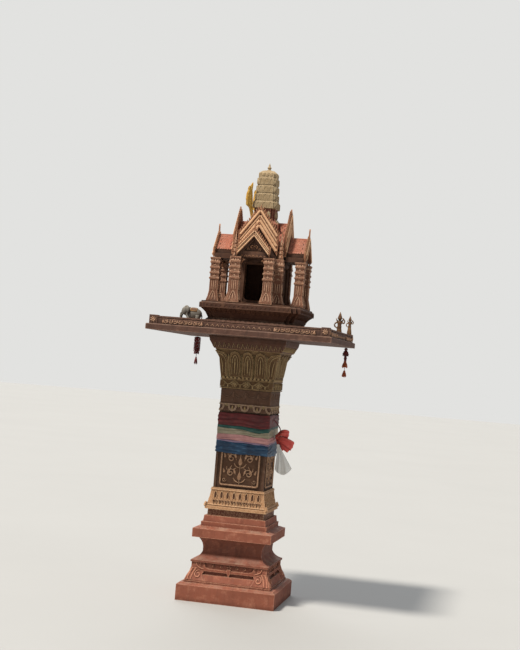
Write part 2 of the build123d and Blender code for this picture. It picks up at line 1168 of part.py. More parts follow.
def dancers():
    side = corner_inside - dancer_inset_side
    back = corner_inside - dancer_inset_back
    tall = Pos(side, back, z_tray_floor) * figure(dancer_height, dancer_width)
    small = figure(small_dancer_height, small_dancer_width)
    small = Pos(corner_place, corner_place, z_corner_top) * small
    return Compound(children=[tall, small])


def animal():
    """Small standing elephant on four short legs, side view facing left."""
    half = animal_length / 2
    back = animal_height
    belly = animal_height / 3
    leg = animal_length / 6
    trunk = animal_length / 10
    side = face_of(
        [
            (-half, belly / 3),
            (trunk - half, belly / 3),
            (trunk - half, 1.4 * belly),
            (leg - half, belly),
            (leg - half, 0),
            (2 * leg - half, 0),
            (2 * leg - half, belly),
            (half - 2 * leg, belly),
            (half - 2 * leg, 0),
            (half - leg / 2, 0),
            (half, 0.6 * back),
            (half - leg, back - belly / 3),
            (leg, back),
            (-leg / 2, 0.85 * back),
            (-2 * leg, back),
            (-half, 0.7 * back),
        ]
    )
    front = face_of(
        [
            (-animal_width / 2, 0),
            (animal_width / 2, 0),
            (animal_width / 2, 0.7 * back),
            (animal_width / 4, back),
            (-animal_width / 4, back),
            (-animal_width / 2, 0.7 * back),
        ]
    )
    long = extrude(Plane.XZ * side, animal_width, both=True)
    across = extrude(Plane.YZ * front, animal_length, both=True)
    gap = Pos(0, belly / 2) * Rectangle(animal_width / 4, belly)
    tunnel = extrude(Plane.YZ * gap, half - trunk - cut_over, both=True)
    return Pos(animal_inset - corner_inside, animal_front, z_tray_floor) * (
        (long & across) - tunnel
    )


os.makedirs("parts", exist_ok=True)
save(plinth(), "plinth")
save(lion_foot_base(), "lion_foot_base")
save(base_waist(), "base_waist")
save(base_fascia(), "base_cornice")
save(lotus_skirt(), "lotus_skirt")
save(shaft(), "shaft")
save(four(shaft_panel()), "shaft_panels")
save(shaft_pendants(), "shaft_pendants")
save(capital_collar(), "capital_collar")
save(lotus_capital(), "lotus_capital")
save(abacus(), "abacus")
save(tray_slab(), "tray_slab")
save(four(corner_block()), "tray_corner_blocks")
save(shrine_base(), "shrine_base")
save(shrine_floor(), "shrine_floor")
save(four(corner_pier()), "corner_piers")
save(four(pinnacle()), "corner_pinnacles")
save(cross_roof(), "cross_roof")
save(four(porch_roof()), "porch_roofs")
save(tower_base(), "tower_base")
save(tower_tiers(), "tower_tiers")
save(tower_cap(), "tower_cap")
save(tower_finial(), "tower_finial")
save(tower_leaves(), "tower_leaves")

for side_name, side_angle in SIDES.items():
    save(turned(tray_rim(), side_angle), f"tray_rim_{side_name}")
    save(turned(wall(side_name == "front"), side_angle), f"wall_{side_name}")
    save(turned(porch_columns(), side_angle), f"porch_columns_{side_name}")
    save(turned(porch_beam(), side_angle), f"porch_beam_{side_name}")
    save(turned(porch_gable(), side_angle), f"porch_gable_{side_name}")
    save(turned(upper_gable(), side_angle), f"upper_gable_{side_name}")

save(cloth_ring(red_cloth_low, red_cloth_height), "cloth_red")
save(cloth_ring(green_cloth_low, green_cloth_height), "cloth_green")
save(cloth_ring(pink_cloth_low, pink_cloth_height), "cloth_pink")
save(cloth_ring(blue_cloth_low, blue_cloth_height), "cloth_blue")
save(bow(), "red_bow")
save(scarf(), "white_scarf")
save(garland(-1), "garland_left")
save(garland(1), "garland_right")
save(dancers(), "dancer_figures")
save(animal(), "elephant_figure")
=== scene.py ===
"""Looks of a painted concrete spirit house on its pillar, dressed with cloths and garlands."""

import json
import math
import random

import bmesh
import bpy
from mathutils import Matrix, Vector


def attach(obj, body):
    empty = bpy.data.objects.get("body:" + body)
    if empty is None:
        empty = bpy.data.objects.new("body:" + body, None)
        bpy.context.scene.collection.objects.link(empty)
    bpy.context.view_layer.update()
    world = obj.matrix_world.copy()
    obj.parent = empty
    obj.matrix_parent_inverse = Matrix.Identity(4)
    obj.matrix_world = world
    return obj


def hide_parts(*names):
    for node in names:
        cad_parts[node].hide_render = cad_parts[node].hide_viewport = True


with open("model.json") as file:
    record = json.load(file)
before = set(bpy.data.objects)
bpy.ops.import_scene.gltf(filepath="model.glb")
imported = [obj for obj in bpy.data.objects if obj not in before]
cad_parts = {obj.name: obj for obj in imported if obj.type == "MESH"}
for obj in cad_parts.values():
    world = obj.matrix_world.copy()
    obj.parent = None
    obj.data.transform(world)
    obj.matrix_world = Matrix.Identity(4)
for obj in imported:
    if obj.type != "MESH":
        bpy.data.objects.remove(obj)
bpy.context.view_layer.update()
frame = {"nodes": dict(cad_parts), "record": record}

# Camera, worked out from the photograph's horizon and the tray's corners
PHOTO_HEIGHT = 650
FOCAL_PIXELS = 1300.0
SENSOR_HEIGHT = 36.0
CAMERA_DISTANCE = 7.3
CAMERA_HEIGHT = 1.294
CAMERA_AZIMUTH = math.radians(11.5)
CAMERA_ROLL = math.radians(4.7)
AXIS_PIXEL = (250.5, 366.0)
CENTRE_PIXEL = (253.8, 324.4)


def add_object(name, data):
    obj = bpy.data.objects.new(name, data)
    bpy.context.scene.collection.objects.link(obj)
    return obj


def make_camera():
    data = bpy.data.cameras.new("camera")
    data.sensor_fit = "VERTICAL"
    data.sensor_height = SENSOR_HEIGHT
    data.lens = SENSOR_HEIGHT * FOCAL_PIXELS / PHOTO_HEIGHT
    camera = add_object("camera", data)
    place = Vector((
        CAMERA_DISTANCE * math.sin(CAMERA_AZIMUTH),
        -CAMERA_DISTANCE * math.cos(CAMERA_AZIMUTH),
        CAMERA_HEIGHT,
    ))
    turn = -CAMERA_AZIMUTH + math.atan((CENTRE_PIXEL[0] - AXIS_PIXEL[0]) / FOCAL_PIXELS)
    pitch = math.atan((AXIS_PIXEL[1] - CENTRE_PIXEL[1]) / FOCAL_PIXELS)
    aim = Matrix.Rotation(-turn, 4, "Z") @ Matrix.Rotation(math.pi / 2 + pitch, 4, "X")
    camera.matrix_world = Matrix.Translation(place) @ aim @ Matrix.Rotation(CAMERA_ROLL, 4, "Z")
    bpy.context.scene.camera = camera


make_camera()


# Materials

# Colour of the painted shade in the groove under the skirt's lip
UNDER_LIP_SHADE = (96, 52, 38)
LIP_EDGE = 0.004
DUST = (168, 150, 130)
THREADS = 900
LOOKS = {}


def linear(red, green, blue):
    """Linear colour of an 8-bit one."""
    def one(v):
        v /= 255
        return v / 12.92 if v <= 0.04045 else ((v + 0.055) / 1.055) ** 2.4
    return one(red), one(green), one(blue), 1.0


def fill(node, inputs):
    """Links a node's inputs to other nodes' outputs, or sets them to constants."""
    for key, value in inputs.items():
        socket = node.inputs[key]
        if isinstance(value, bpy.types.NodeSocket):
            node.id_data.links.new(value, socket)
        else:
            socket.default_value = value


class Nodes:
    """Short hand for building a material's node tree."""

    def __init__(self, name):
        self.material = bpy.data.materials.new(name)
        self.material.use_nodes = True
        self.tree = self.material.node_tree
        self.shader = self.tree.nodes["Principled BSDF"]
        self.coords = self.add("TexCoord", "Object")

    def add(self, kind, output, inputs=None, **settings):
        """Adds a node, fills its inputs and returns the named output."""
        node = self.tree.nodes.new("ShaderNode" + kind)
        for key, value in settings.items():
            setattr(node, key, value)
        fill(node, inputs or {})
        return node.outputs[output]

    def noise(self, scale, detail=4.0, rough=0.6, stretch=(1, 1, 1)):
        mapped = self.add("Mapping", "Vector", {"Vector": self.coords, "Scale": stretch})
        return self.add("TexNoise", "Fac", {
            "Vector": mapped, "Scale": scale, "Detail": detail, "Roughness": rough,
        })

    def ramp(self, value, low, high, start=0.0, end=1.0):
        return self.add("MapRange", "Result", {
            "Value": value, "From Min": low, "From Max": high, "To Min": start, "To Max": end,
        })

    def math(self, kind, first, second):
        return self.add("Math", 0, {0: first, 1: second}, operation=kind)

    def mix(self, share, first, second):
        inputs = {"Factor": share, "A": first, "B": second}
        return self.add("Mix", "Result", inputs, data_type="RGBA")

    def layer(self, colour, mask, share, coat):
        """Lays an 8-bit coat over the colour, where the mask is and at most by the share."""
        return self.mix(self.math("MULTIPLY", mask, share), colour, linear(*coat))

    def bump(self, height, strength, distance, **under):
        inputs = {"Height": height, "Strength": strength, "Distance": distance}
        return self.add("Bump", "Normal", {**inputs, **under})

    def hollow(self, distance):
        """One in corners and hollows, none on open faces."""
        open_sky = self.add("AmbientOcclusion", "AO", {"Distance": distance}, samples=6)
        return self.ramp(open_sky, 0.35, 0.95, 1.0, 0.0)

    def edge(self, radius):
        """One along outer edges, none on flat faces."""
        soft = self.add("Bevel", 0, {"Radius": radius}, samples=4)
        flat = self.add("NewGeometry", "Normal")
        same = self.add("VectorMath", "Value", {0: soft, 1: flat}, operation="DOT_PRODUCT")
        return self.ramp(same, 0.995, 0.86)

    def height(self, vector):
        return self.add("SeparateXYZ", "Z", {0: vector})


def painted(name, base, stain_and_shade, worn_and_highlight, wear_and_highlight=0.6, soot=0.5, relief=0.0, below=None):
    """Weathered masonry paint: blotches, rain runs, dirt and painted shade in hollows, rubbed
    edges with painted highlights, painted shade under a lip.
    """
    n = Nodes(name)
    blotch = n.ramp(n.noise(7, 5), 0.35, 0.68)
    colour = n.layer(linear(*base), blotch, 0.45, [v * 0.78 for v in base])
    pale = n.ramp(n.noise(23, 6, 0.7), 0.52, 0.74)
    colour = n.layer(colour, pale, 0.4, worn_and_highlight)
    runs = n.ramp(n.noise(34, 4, 0.6, (1, 1, 0.09)), 0.5, 0.72)
    colour = n.layer(colour, runs, 0.34 * soot, stain_and_shade)
    # Dirt together with painted shade: hollows and corners darkened towards the stain colour.
    grime_and_shade = n.math("MULTIPLY", n.hollow(0.03), n.ramp(n.noise(60, 4), 0.25, 0.6, 0.55, 1.0))
    colour = n.layer(colour, grime_and_shade, 0.85, stain_and_shade)
    # Painted shade: a dark red band below the given height, under a lip.
    if below:
        lip = n.ramp(n.height(n.coords), below + LIP_EDGE, below)
        colour = n.mix(lip, colour, linear(*UNDER_LIP_SHADE))
    # Rubbed edges together with painted highlights: outer edges lightened towards the worn
    # colour.
    edge_rub_and_highlight = n.math("MULTIPLY", n.edge(0.0055), n.ramp(n.noise(75, 5, 0.7), 0.34, 0.54))
    colour = n.layer(colour, edge_rub_and_highlight, wear_and_highlight, worn_and_highlight)
    flat = n.ramp(n.height(n.add("NewGeometry", "Normal")), 0.55, 0.95)
    dust = n.math("MULTIPLY", flat, n.ramp(n.noise(16, 5), 0.4, 0.66))
    colour = n.layer(colour, dust, 0.45, DUST)
    if relief:
        colour = n.layer(colour, n.ramp(n.noise(130, 3), 0.42, 0.58), relief, worn_and_highlight)
    coarse = n.bump(n.noise(28, 6, 0.65), 0.5, 0.004)
    fill(n.shader, {
        "Base Color": colour,
        "Roughness": n.ramp(n.noise(45, 4), 0.3, 0.7, 0.62, 0.92),
        "Specular IOR Level": 0.35,
        "Normal": n.bump(n.noise(320, 4, 0.7), 0.35, 0.0012, Normal=coarse),
    })
    LOOKS[name] = n.material


def woven(name, base, shade, light):
    """Satin or cotton cloth: fine weave, soft colour changes, painted shade in the folds."""
    n = Nodes(name)
    colour = n.mix(n.ramp(n.noise(12, 4), 0.35, 0.7), linear(*base), linear(*shade))
    streak = n.ramp(n.noise(26, 3, 0.5, (1, 1, 5)), 0.5, 0.72)
    colour = n.layer(colour, streak, 0.45, light)
    # Painted shade in the folds and creases.
    colour = n.layer(colour, n.hollow(0.014), 0.8, [v * 0.35 for v in shade])
    threads = [
        n.add("TexWave", "Fac", {"Vector": n.coords, "Scale": THREADS, "Distortion": 2.0},
              bands_direction=way)
        for way in ("Z", "DIAGONAL")
    ]
    weave = n.bump(n.math("MAXIMUM", *threads), 0.25, 0.0004)
    fill(n.shader, {
        "Base Color": colour,
        "Roughness": n.ramp(n.noise(50, 3), 0.3, 0.7, 0.5, 0.75),
        "Sheen Weight": 0.1,
        "Sheen Roughness": 0.4,
        "Normal": n.bump(n.noise(90, 4), 0.4, 0.0015, Normal=weave),
    })
    LOOKS[name] = n.material


# Each look is its main colour, the colour of its stains and of the painted shade in its hollows,
# and the colour of its rubbed edges and painted edge highlights
painted("red_concrete", (146, 84, 63), (60, 31, 23), (216, 154, 124), wear_and_highlight=0.9, soot=0.7)
# The waist's hollow moulding, darker: dirt together with painted shade
painted("stained_and_shaded_brick", (128, 74, 56), (46, 26, 20), (190, 128, 102), wear_and_highlight=0.7, soot=1.0)
painted("pale_brick", (176, 108, 82), (74, 40, 30), (224, 164, 132), wear_and_highlight=0.8)
painted("dark_concrete", (88, 56, 41), (34, 20, 14), (150, 110, 82), wear_and_highlight=0.55, soot=0.8)
painted("carved_concrete", (146, 98, 62), (60, 37, 22), (214, 174, 122), wear_and_highlight=0.85, relief=0.3)
painted("capital_concrete", (102, 74, 44), (42, 28, 16), (184, 154, 108), wear_and_highlight=0.9, soot=0.8)
painted("capital_tan", (138, 108, 70), (52, 36, 22), (200, 172, 126), wear_and_highlight=0.9, relief=0.3)
painted("column_tan", (186, 136, 104), (76, 46, 34), (238, 198, 166), wear_and_highlight=0.9, relief=0.2)
# The skirt's look paints the shade under its lip, below 0.494 m.
painted("skirt_tan", (180, 132, 92), (84, 52, 32), (234, 194, 152), wear_and_highlight=0.9, relief=0.2,
        below=0.494)
# Painted shade: the dark plates that stand for the shade in the skirt's slots
painted("slot_shade", (84, 50, 32), (40, 24, 15), (120, 80, 54), wear_and_highlight=0.3)
painted("loop_tan", (146, 116, 92), (56, 38, 28), (206, 176, 148), wear_and_highlight=0.9)
painted("panel_tan", (156, 112, 82), (60, 38, 24), (212, 172, 138), wear_and_highlight=0.9, relief=0.25)
painted("panel_ground", (92, 62, 42), (38, 24, 15), (146, 108, 78), soot=0.9)
painted("tray_concrete", (92, 63, 51), (38, 26, 21), (170, 128, 106), wear_and_highlight=0.75, soot=1.1)
painted("tray_tan", (158, 112, 83), (50, 33, 26), (232, 186, 152), wear_and_highlight=0.9, soot=0.9, relief=0.3)
painted("shaft_concrete", (98, 68, 50), (36, 24, 17), (150, 116, 90), soot=1.0)
# Darker: painted shade of the room, porches and roofs, together with soot from incense
painted("shaded_room_concrete", (90, 59, 43), (34, 22, 15), (136, 98, 73), soot=1.0)
painted("column_concrete", (130, 86, 64), (46, 28, 20), (226, 178, 144), wear_and_highlight=0.95, soot=0.8)
painted("gable_concrete", (146, 92, 64), (56, 31, 21), (226, 172, 130), wear_and_highlight=0.85, soot=0.7)
# Barge board strips: a lighter paint together with a painted highlight of sunlit faces
painted("gable_pale_highlight", (232, 177, 131), (104, 60, 38), (252, 216, 176), wear_and_highlight=0.9, relief=0.15)
painted("gold_concrete", (174, 148, 110), (84, 66, 46), (222, 200, 162), wear_and_highlight=0.85, relief=0.1)
painted("leaf_gold", (206, 152, 56), (92, 58, 22), (240, 204, 112), wear_and_highlight=0.7)
painted("roof_tiles", (172, 98, 74), (66, 36, 28), (224, 156, 128), wear_and_highlight=0.7)
painted("figure_paint", (112, 78, 54), (44, 28, 20), (196, 152, 92))
painted("elephant_paint", (132, 126, 116), (54, 50, 46), (188, 182, 170))

# Each cloth is its main colour, a darker one and a lighter one
woven("red_cloth", (98, 23, 22), (64, 14, 13), (138, 44, 40))
woven("green_cloth", (28, 84, 74), (14, 50, 46), (70, 128, 114))
woven("cream_cloth", (158, 146, 120), (124, 120, 98), (206, 192, 168))
woven("pink_cloth", (200, 142, 138), (166, 112, 112), (232, 184, 174))
woven("lilac_cloth", (158, 130, 152), (124, 100, 128), (196, 172, 188))
woven("blue_cloth", (32, 72, 104), (16, 40, 66), (88, 134, 170))
woven("bow_cloth", (238, 102, 90), (190, 58, 54), (250, 158, 140))
woven("white_cloth", (250, 249, 244), (238, 236, 229), (255, 254, 250))
woven("garland_petals", (112, 20, 18), (70, 10, 12), (158, 48, 34))
woven("garland_orange", (176, 78, 24), (124, 48, 14), (212, 124, 52))

# CAD nodes, or stems of nodes on four sides, whose look isn't the one named after their slot
NODE_LOOKS = {
    "stained_and_shaded_brick": ("base_waist",),
    "skirt_tan": ("lotus_skirt",),
    "shaft_concrete": ("shaft",),
    "panel_ground": ("shaft_panels",),
    "loop_tan": ("shaft_pendants",),
    "capital_concrete": ("capital_collar", "lotus_capital"),
    "dark_concrete": ("abacus", "shrine_base", "shrine_floor"),
    "tray_concrete": ("tray_slab", "tray_corner_blocks", "tray_rim"),
    "gable_concrete": ("corner_pinnacles",),
    "column_concrete": ("corner_piers",),
    "shaded_room_concrete": ("cross_roof", "porch_roofs", "wall", "porch_beam"),
}
own_look = {node: look for look, nodes in NODE_LOOKS.items() for node in nodes}
for part in frame["record"]["subparts"]:
    name = part["node"]
    stem, _, end = name.rpartition("_")
    if end not in ("front", "right", "back", "left"):
        stem = name
    materials = frame["nodes"][name].data.materials
    materials.clear()
    materials.append(LOOKS[own_look.get(stem, part["material_slot"])])


# Mesh helpers, in millimetres, in the CAD's frame

MM = 0.001
SIDES = range(4)
WAYS = (-1, 1)
SINK = 1.5  # how far a carved ridge reaches into its ground


def turned(x, y, angle):
    """Point turned round the upright axis."""
    c, s = math.cos(angle), math.sin(angle)
    return x * c - y * s, x * s + y * c


def angles(count, start=0.0):
    """Even steps of a full turn."""
    return [2 * math.pi * (i + start) / count for i in range(count)]


def polar(x, z, radius, angle):
    """Point at a distance and angle from (x, z)."""
    return x + radius * math.cos(angle), z + radius * math.sin(angle)


def on_side(side, across, out, up):
    """Point on one of the four sides, out from the middle axis."""
    return (*turned(across, -out, side * math.pi / 2), up)


def on_wall(side, half, way=1):
    """Places (across, up, proud) on an upright side that lies half away; way -1 mirrors it."""
    return lambda x, z, out: on_side(side, way * x, half + out, z)


def on_slope(side, profile, way=1):
    """The same on a moulded side; profile is a run of (up, half) pairs."""
    def half(z):
        for (z0, h0), (z1, h1) in zip(profile, profile[1:]):
            if z <= z1:
                return h0 + (h1 - h0) * (z - z0) / (z1 - z0)
        return profile[-1][1]
    return lambda x, z, out: on_side(side, way * x, half(z) + out, z)


def on_post(centre, face, profile):
    """The same on one face of a moulded post."""
    flat = on_slope(face, profile)
    return lambda x, z, out: tuple(a + b for a, b in zip(flat(x, z, out), centre))


def on_blade(angle, way):
    """The same on one face of an upright blade that points away at an angle."""
    return lambda r, z, out: (*turned(r, way * (4 + out), angle), z)


def on_string(x, y, radius):
    """The same round an upright string."""
    return lambda across, z, out: (*polar(x, y, radius + out, across / radius), z)


def cells(place, steps):
    """The same place moved across to each of the steps."""
    return [lambda x, z, out, step=step: place(step + x, z, out) for step in steps]


def leaf_outline(x, z, width, height, lean=0.0):
    """Pointed leaf that stands on (x, z), or hangs from it where the height is negative."""
    w = width / 2
    return [
        (x - w * 0.55, z), (x + w * 0.55, z), (x + w, z + height * 0.3),
        (x + w * 0.62 + lean * 0.5, z + height * 0.66), (x + lean, z + height),
        (x - w * 0.62 + lean * 0.5, z + height * 0.66), (x - w, z + height * 0.3),
    ]


class Shape:
    """Gathers closed forms into one mesh."""

    def __init__(self):
        self.verts = []
        self.faces = []

    def add(self, verts, faces):
        start = len(self.verts)
        self.verts += [tuple(v) for v in verts]
        self.faces += [tuple(start + i for i in face) for face in faces]

    def loft(self, rings):
        """Skin over rings of points, with flat ends."""
        count = len(rings[0])
        verts = [p for ring in rings for p in ring]
        faces = []
        for a in range(0, len(verts) - count, count):
            for j in range(count):
                k = (j + 1) % count
                faces.append((a + j, a + k, a + count + k, a + count + j))
        faces.append(tuple(range(count))[::-1])
        faces.append(tuple(range(len(verts) - count, len(verts))))
        self.add(verts, faces)

    def stroke(self, path, width, height, place, tip=0.15):
        """Carved ridge along a path of (across, up) points, thin at both ends."""
        rings = []
        last = len(path) - 1
        for i, (x, z) in enumerate(path):
            x0, z0 = path[max(i - 1, 0)]
            x1, z1 = path[min(i + 1, last)]
            run = math.hypot(x1 - x0, z1 - z0) or 1
            nx, nz = -(z1 - z0) / run, (x1 - x0) / run
            swell = tip + (1 - tip) * math.sin(math.pi * (0.08 + 0.84 * i / last)) ** 0.8
            w, h = width * swell / 2, height * (0.4 + 0.6 * swell)
            rings.append([place(x + nx * w * share, z + nz * w * share, out)
                          for share, out in ((-1, -SINK), (-0.45, h), (0.45, h), (1, -SINK))])
        self.loft(rings)

    def strokes(self, place, rows):
        """Ridges from rows of (path, width, height) or (path, width, height, tip)."""
        for path, width, height, *tip in rows:
            self.stroke(path, width, height, place, *tip)

    def plate(self, outline, low, high, place, chamfer):
        """Flat form with a bevelled front, from an outline of (across, up) points."""
        cx = sum(p[0] for p in outline) / len(outline)
        cz = sum(p[1] for p in outline) / len(outline)
        front = [(cx + (x - cx) * chamfer, cz + (z - cz) * chamfer) for x, z in outline]
        edge = low + (high - low) * 0.6
        self.loft([[place(x, z, out) for x, z in ring]
                   for ring, out in ((outline, low), (outline, edge), (front, high))])

    def leaves(self, steps, z, width, height, proud, place, chamfer=0.6, lean=0.0):
        """Row of leaves that stand at the steps across."""
        for x in steps:
            self.plate(leaf_outline(x, z, width, height, lean), -1, proud, place, chamfer)

    def lathe(self, profile, at, sides, flute=0.0, flutes=0, squash=1.0, size=1.0):
        """Turned form from (radius, up) pairs round an upright axis."""
        rings = []
        for radius, up in profile:
            ring = []
            for a in angles(sides):
                r = max(size * radius, 0.15) * (1 + flute * math.cos(a * flutes))
                ring.append((at[0] + r * math.cos(a), at[1] + r * math.sin(a) * squash,
                             at[2] + size * up))
            rings.append(ring)
        self.loft(rings)

    def tube(self, path, radii, sides=8):
        """Round limb along points in space."""
        rings = []
        for i, p in enumerate(path):
            here = Vector(p)
            ahead = Vector(path[min(i + 1, len(path) - 1)]) - Vector(path[max(i - 1, 0)])
            ahead.normalize()
            aside = ahead.cross(Vector((0.3, 0.2, 1) if abs(ahead.z) < 0.9 else (1, 0, 0)))
            aside.normalize()
            third = ahead.cross(aside)
            radius = radii[i] if isinstance(radii, (list, tuple)) else radii
            rings.append([
                here + aside * radius * math.cos(a) + third * radius * math.sin(a)
                for a in angles(sides)
            ])
        self.loft(rings)

    def ball(self, at, radii, sides, rings=8):
        profile = []
        for i in range(rings + 1):
            a = math.pi * i / rings
            profile.append((radii[0] * math.sin(a), -radii[2] * math.cos(a)))
        self.lathe(profile, at, sides, squash=radii[1] / radii[0])

    def piece(self, name, look, slot, smooth=False, replaces=()):
        """The finished mesh as a piece of the object, riding on the root body."""
        mesh = bpy.data.meshes.new(name)
        mesh.from_pydata([[v * MM for v in p] for p in self.verts], [], self.faces)
        b = bmesh.new()
        b.from_mesh(mesh)
        bmesh.ops.recalc_face_normals(b, faces=b.faces)
        b.to_mesh(mesh)
        b.free()
        mesh.polygons.foreach_set("use_smooth", [smooth] * len(mesh.polygons))
        mesh.materials.append(LOOKS[look])
        obj = add_object(name, mesh)
        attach(obj, "root")
        if replaces:
            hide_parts(*replaces)
        return obj


def curve(points, per=4):
    """Smooth line through the points, any number of coordinates."""
    out = []
    last = len(points) - 1
    for i in range(last):
        p = [points[max(i - 1, 0)], points[i], points[i + 1], points[min(i + 2, last)]]
        for k in range(per):
            t = k / per
            out.append(tuple(
                0.5 * (2 * b + (c - a) * t + (2 * a - 5 * b + 4 * c - d) * t * t
                       + (3 * b - a - 3 * c + d) * t ** 3)
                for a, b, c, d in zip(*p)
            ))
    out.append(tuple(points[-1]))
    return out


def spiral(x, z, start, end, from_angle, turns, count=12):
    """Curl that closes in on (x, z); negative turns go clockwise."""
    run = []
    for i in range(count):
        t = i / (count - 1)
        a = math.radians(from_angle) + 2 * math.pi * turns * t
        run.append(polar(x, z, start + (end - start) * t ** 0.8, a))
    return run


def bar(reach, z):
    return [(-reach, z), (0, z), (reach, z)]


def scroll_pair(shape, z, size, place, width, height):
    """Two curls that spring from one stem, the basic Thai leaf scroll."""
    half = size / 2
    for way in WAYS:
        run = spiral(way * half, z + half, half, size * 0.08, 90 + 90 * way, -way * 1.1)
        shape.stroke(run, width, height, place)
    shape.stroke([(0, z - size * 0.1), (0, z + half), (0, z + size * 1.1)],
                 width * 0.8, height * 1.2, place)


def rosette(shape, x, z, radius, place, width, height, petals=8):
    """Ring of petals round a boss."""
    for a in angles(petals, 0.5):
        petal = [polar(x, z, radius * share, a) for share in (0.35, 0.68, 1)]
        shape.stroke(petal, width, height, place, tip=0.45)
    boss = [polar(x, z, radius * 0.3, a) for a in angles(8)]
    shape.plate(boss, -1, height * 1.4, place, 0.6)


def swag(shape, x, z, width, drop, place, thick, height):
    """Hanging curve between two points at the same height."""
    run = [(x + width / 2 * t, z - drop * (1 - t * t)) for t in (i / 4 - 1 for i in range(9))]
    shape.stroke(run, thick, height, place, tip=0.5)


def chevrons(shape, place, pitch, count, reach, low, high, width, height, tip=0.5):
    """Row of small chevrons, count of them on either side of the middle one."""
    for cell in cells(place, [pitch * i for i in range(-count, count + 1)]):
        shape.stroke([(-reach, low), (0, high), (reach, low)], width, height, cell, tip=tip)


# Carving, the same on all four sides. Faces are named by their distance from the axis, in mm.

BASE_RECESS = 204
LION_LEG = [(106, 237), (113, 237), (142, 222), (161, 210), (207, 210)]
SKIRT_LIP = 171
SKIRT_EDGE = [(505, 171), (532, 162.5), (560, 155.5), (587, 151), (614, 148)]
PANEL_GROUND = 136.5
PANEL_RIM = 141.5
SHAFT_FACE = 140.5
COLLAR_FACE = 144
COLLAR_BAND = 149
CAPITAL_EDGE = [(1217, 147), (1326, 161), (1378, 186.5)]
CAPITAL_LIP = [(1378, 189.5), (1420, 212), (1440, 216), (1447, 216)]
TRAY_FACE = 486
TRAY_RECESS = 482
BASE_COVE = [(1515, 266), (1543, 238), (1575, 253), (1595, 276)]
BASE_SLAB = 282
COLUMN = [(1633, 35), (1642, 35), (1667, 28.4), (1695, 24), (1883, 24)]
PIER = [(1633, 35), (1642, 35), (1667, 26.6), (1697, 21), (1891, 21)]
PIER_AT = 129
PORCH_FRONT = 250
PORCH_FIELD = 238
UPPER_FRONT = 137
PORCH_RIDGE = 2021
UPPER_RIDGE = 2100
PORCH_SLOPE = 1.158
UPPER_SLOPE = 1.348
WALL_FACE = 140
NICHE_BACK = 131
TOWER_FOOT = [(2092, 88), (2106, 74), (2125, 60)]
TOWER_NECK = 60
TIERS = (69, 60.5, 58, 55.5)
TIER_FOOT = 2178
TIER_RISE = 45
TOWER_CAP = [(2358, 50), (2380, 50), (2395, 33)]


def carve_lion_base(side, shape):
    scroll_pair(shape, 186, 14, on_wall(side, BASE_RECESS), 4, 6)
    rows = [([(x, 112), (x - 3, 130), (x - 10, 152), (x - 22, 176)], 12, 4, 0.45)
            for x in (204, 222)]
    rows += [(spiral(168, 142, 23, 5, 110, -1.2, 16), 9, 5, 0.35),
             (curve([(146, 172), (160, 176), (176, 186), (182, 202)]), 8, 4.5, 0.4)]
    curls = [(spiral(x, 191, 9, 2, 200, -1.1), 4, 5) for x in (45, 88)]
    for way in WAYS:
        shape.strokes(on_slope(side, LION_LEG, way), rows)
        shape.strokes(on_wall(side, BASE_RECESS, way), curls)


def carve_skirt(side, petals, slots):
    """Petals that hang over a plain lip, with dark plates between their shoulders that paint the
    shade in open slots.
    """
    place = on_slope(side, SKIRT_EDGE)
    rim = curve([(-7, 558), (-8, 580), (0, 596), (8, 580), (7, 558)], 3)
    hem = [(-17, 552), (-8, 527), (0, 550), (8, 527), (17, 552)]
    slot = [(-4, 561), (4, 561), (4.6, 580), (3, 590), (-3, 590), (-4.6, 580)]
    for cell in cells(place, [(i + 0.5) * 34.5 for i in range(-4, 4)]):
        petals.strokes(cell, [(rim, 5, 4, 0.7), (hem, 4.4, 3.6, 0.8)])
        # Dark plates: painted shade of a slot and of two small hollows under it.
        slots.plate(slot, -1, 0.8, cell, 0.95)
        for x in (-8, 8):
            slots.plate([(x - 4.5, 546), (x, 531), (x + 4.5, 546)], -1, 0.8, cell, 0.9)
    petals.strokes(place, [(bar(148, 604), 9, 3.2, 0.95), (bar(165, 521), 6, 3.2, 0.95)])
    petals.plate([(-174, 497), (174, 497), (171, 512), (-171, 512)], -4, 1.5,
                 on_wall(side, SKIRT_LIP), 0.985)


def carve_panels(side, shape):
    """Leaf scrolls that climb a stem in each panel, inside a raised rim."""
    rim = []
    for k in range(33):
        a = 2 * math.pi * (k + 0.5) / 32
        corner = math.copysign(93, math.cos(a)), 822 + math.copysign(176, math.sin(a))
        rim.append(polar(*corner, 13, a))
    shape.stroke(rim, 9, 3.6, on_wall(side, PANEL_RIM), 1)
    place = on_wall(side, PANEL_GROUND)
    shape.stroke([(0, 640), (0, 820), (0, 1004)], 5, 4, place, 0.7)
    rows = [(spiral(84, z, 13, 3, 180, turns), 5, 4) for z, turns in ((660, 1.2), (984, -1.2))]
    for i, z in enumerate((700, 780, 860, 940)):
        size = 40 - 2 * i
        shape.leaves((0,), z - 34, 22, 46, 5.5, place)
        rows += [(spiral(50, z, size * 0.72, 5, 200, -1.35, 16), 8, 5),
                 (curve([(4, z - 50), (22, z - 42), (34, z - 26)]), 7, 4.6, 0.3)]
        for turn in (35, 75, 115):
            a = math.radians(turn)
            x0, z0 = polar(50, z, size * 0.5, a)
            x1, z1 = polar(50, z, size * 1.05, a + 0.35)
            frond = [(x0, z0), ((x0 + x1) / 2 + 3, (z0 + z1) / 2 - 3), (x1, z1)]
            rows.append((frond, 7, 4, 0.2))
    for way in WAYS:
        place = on_wall(side, PANEL_GROUND, way)
        shape.strokes(place, rows)
        for z in (698, 782, 860):
            shape.leaves((28, 58, 88), z, 13, 26, 4, place, lean=5)


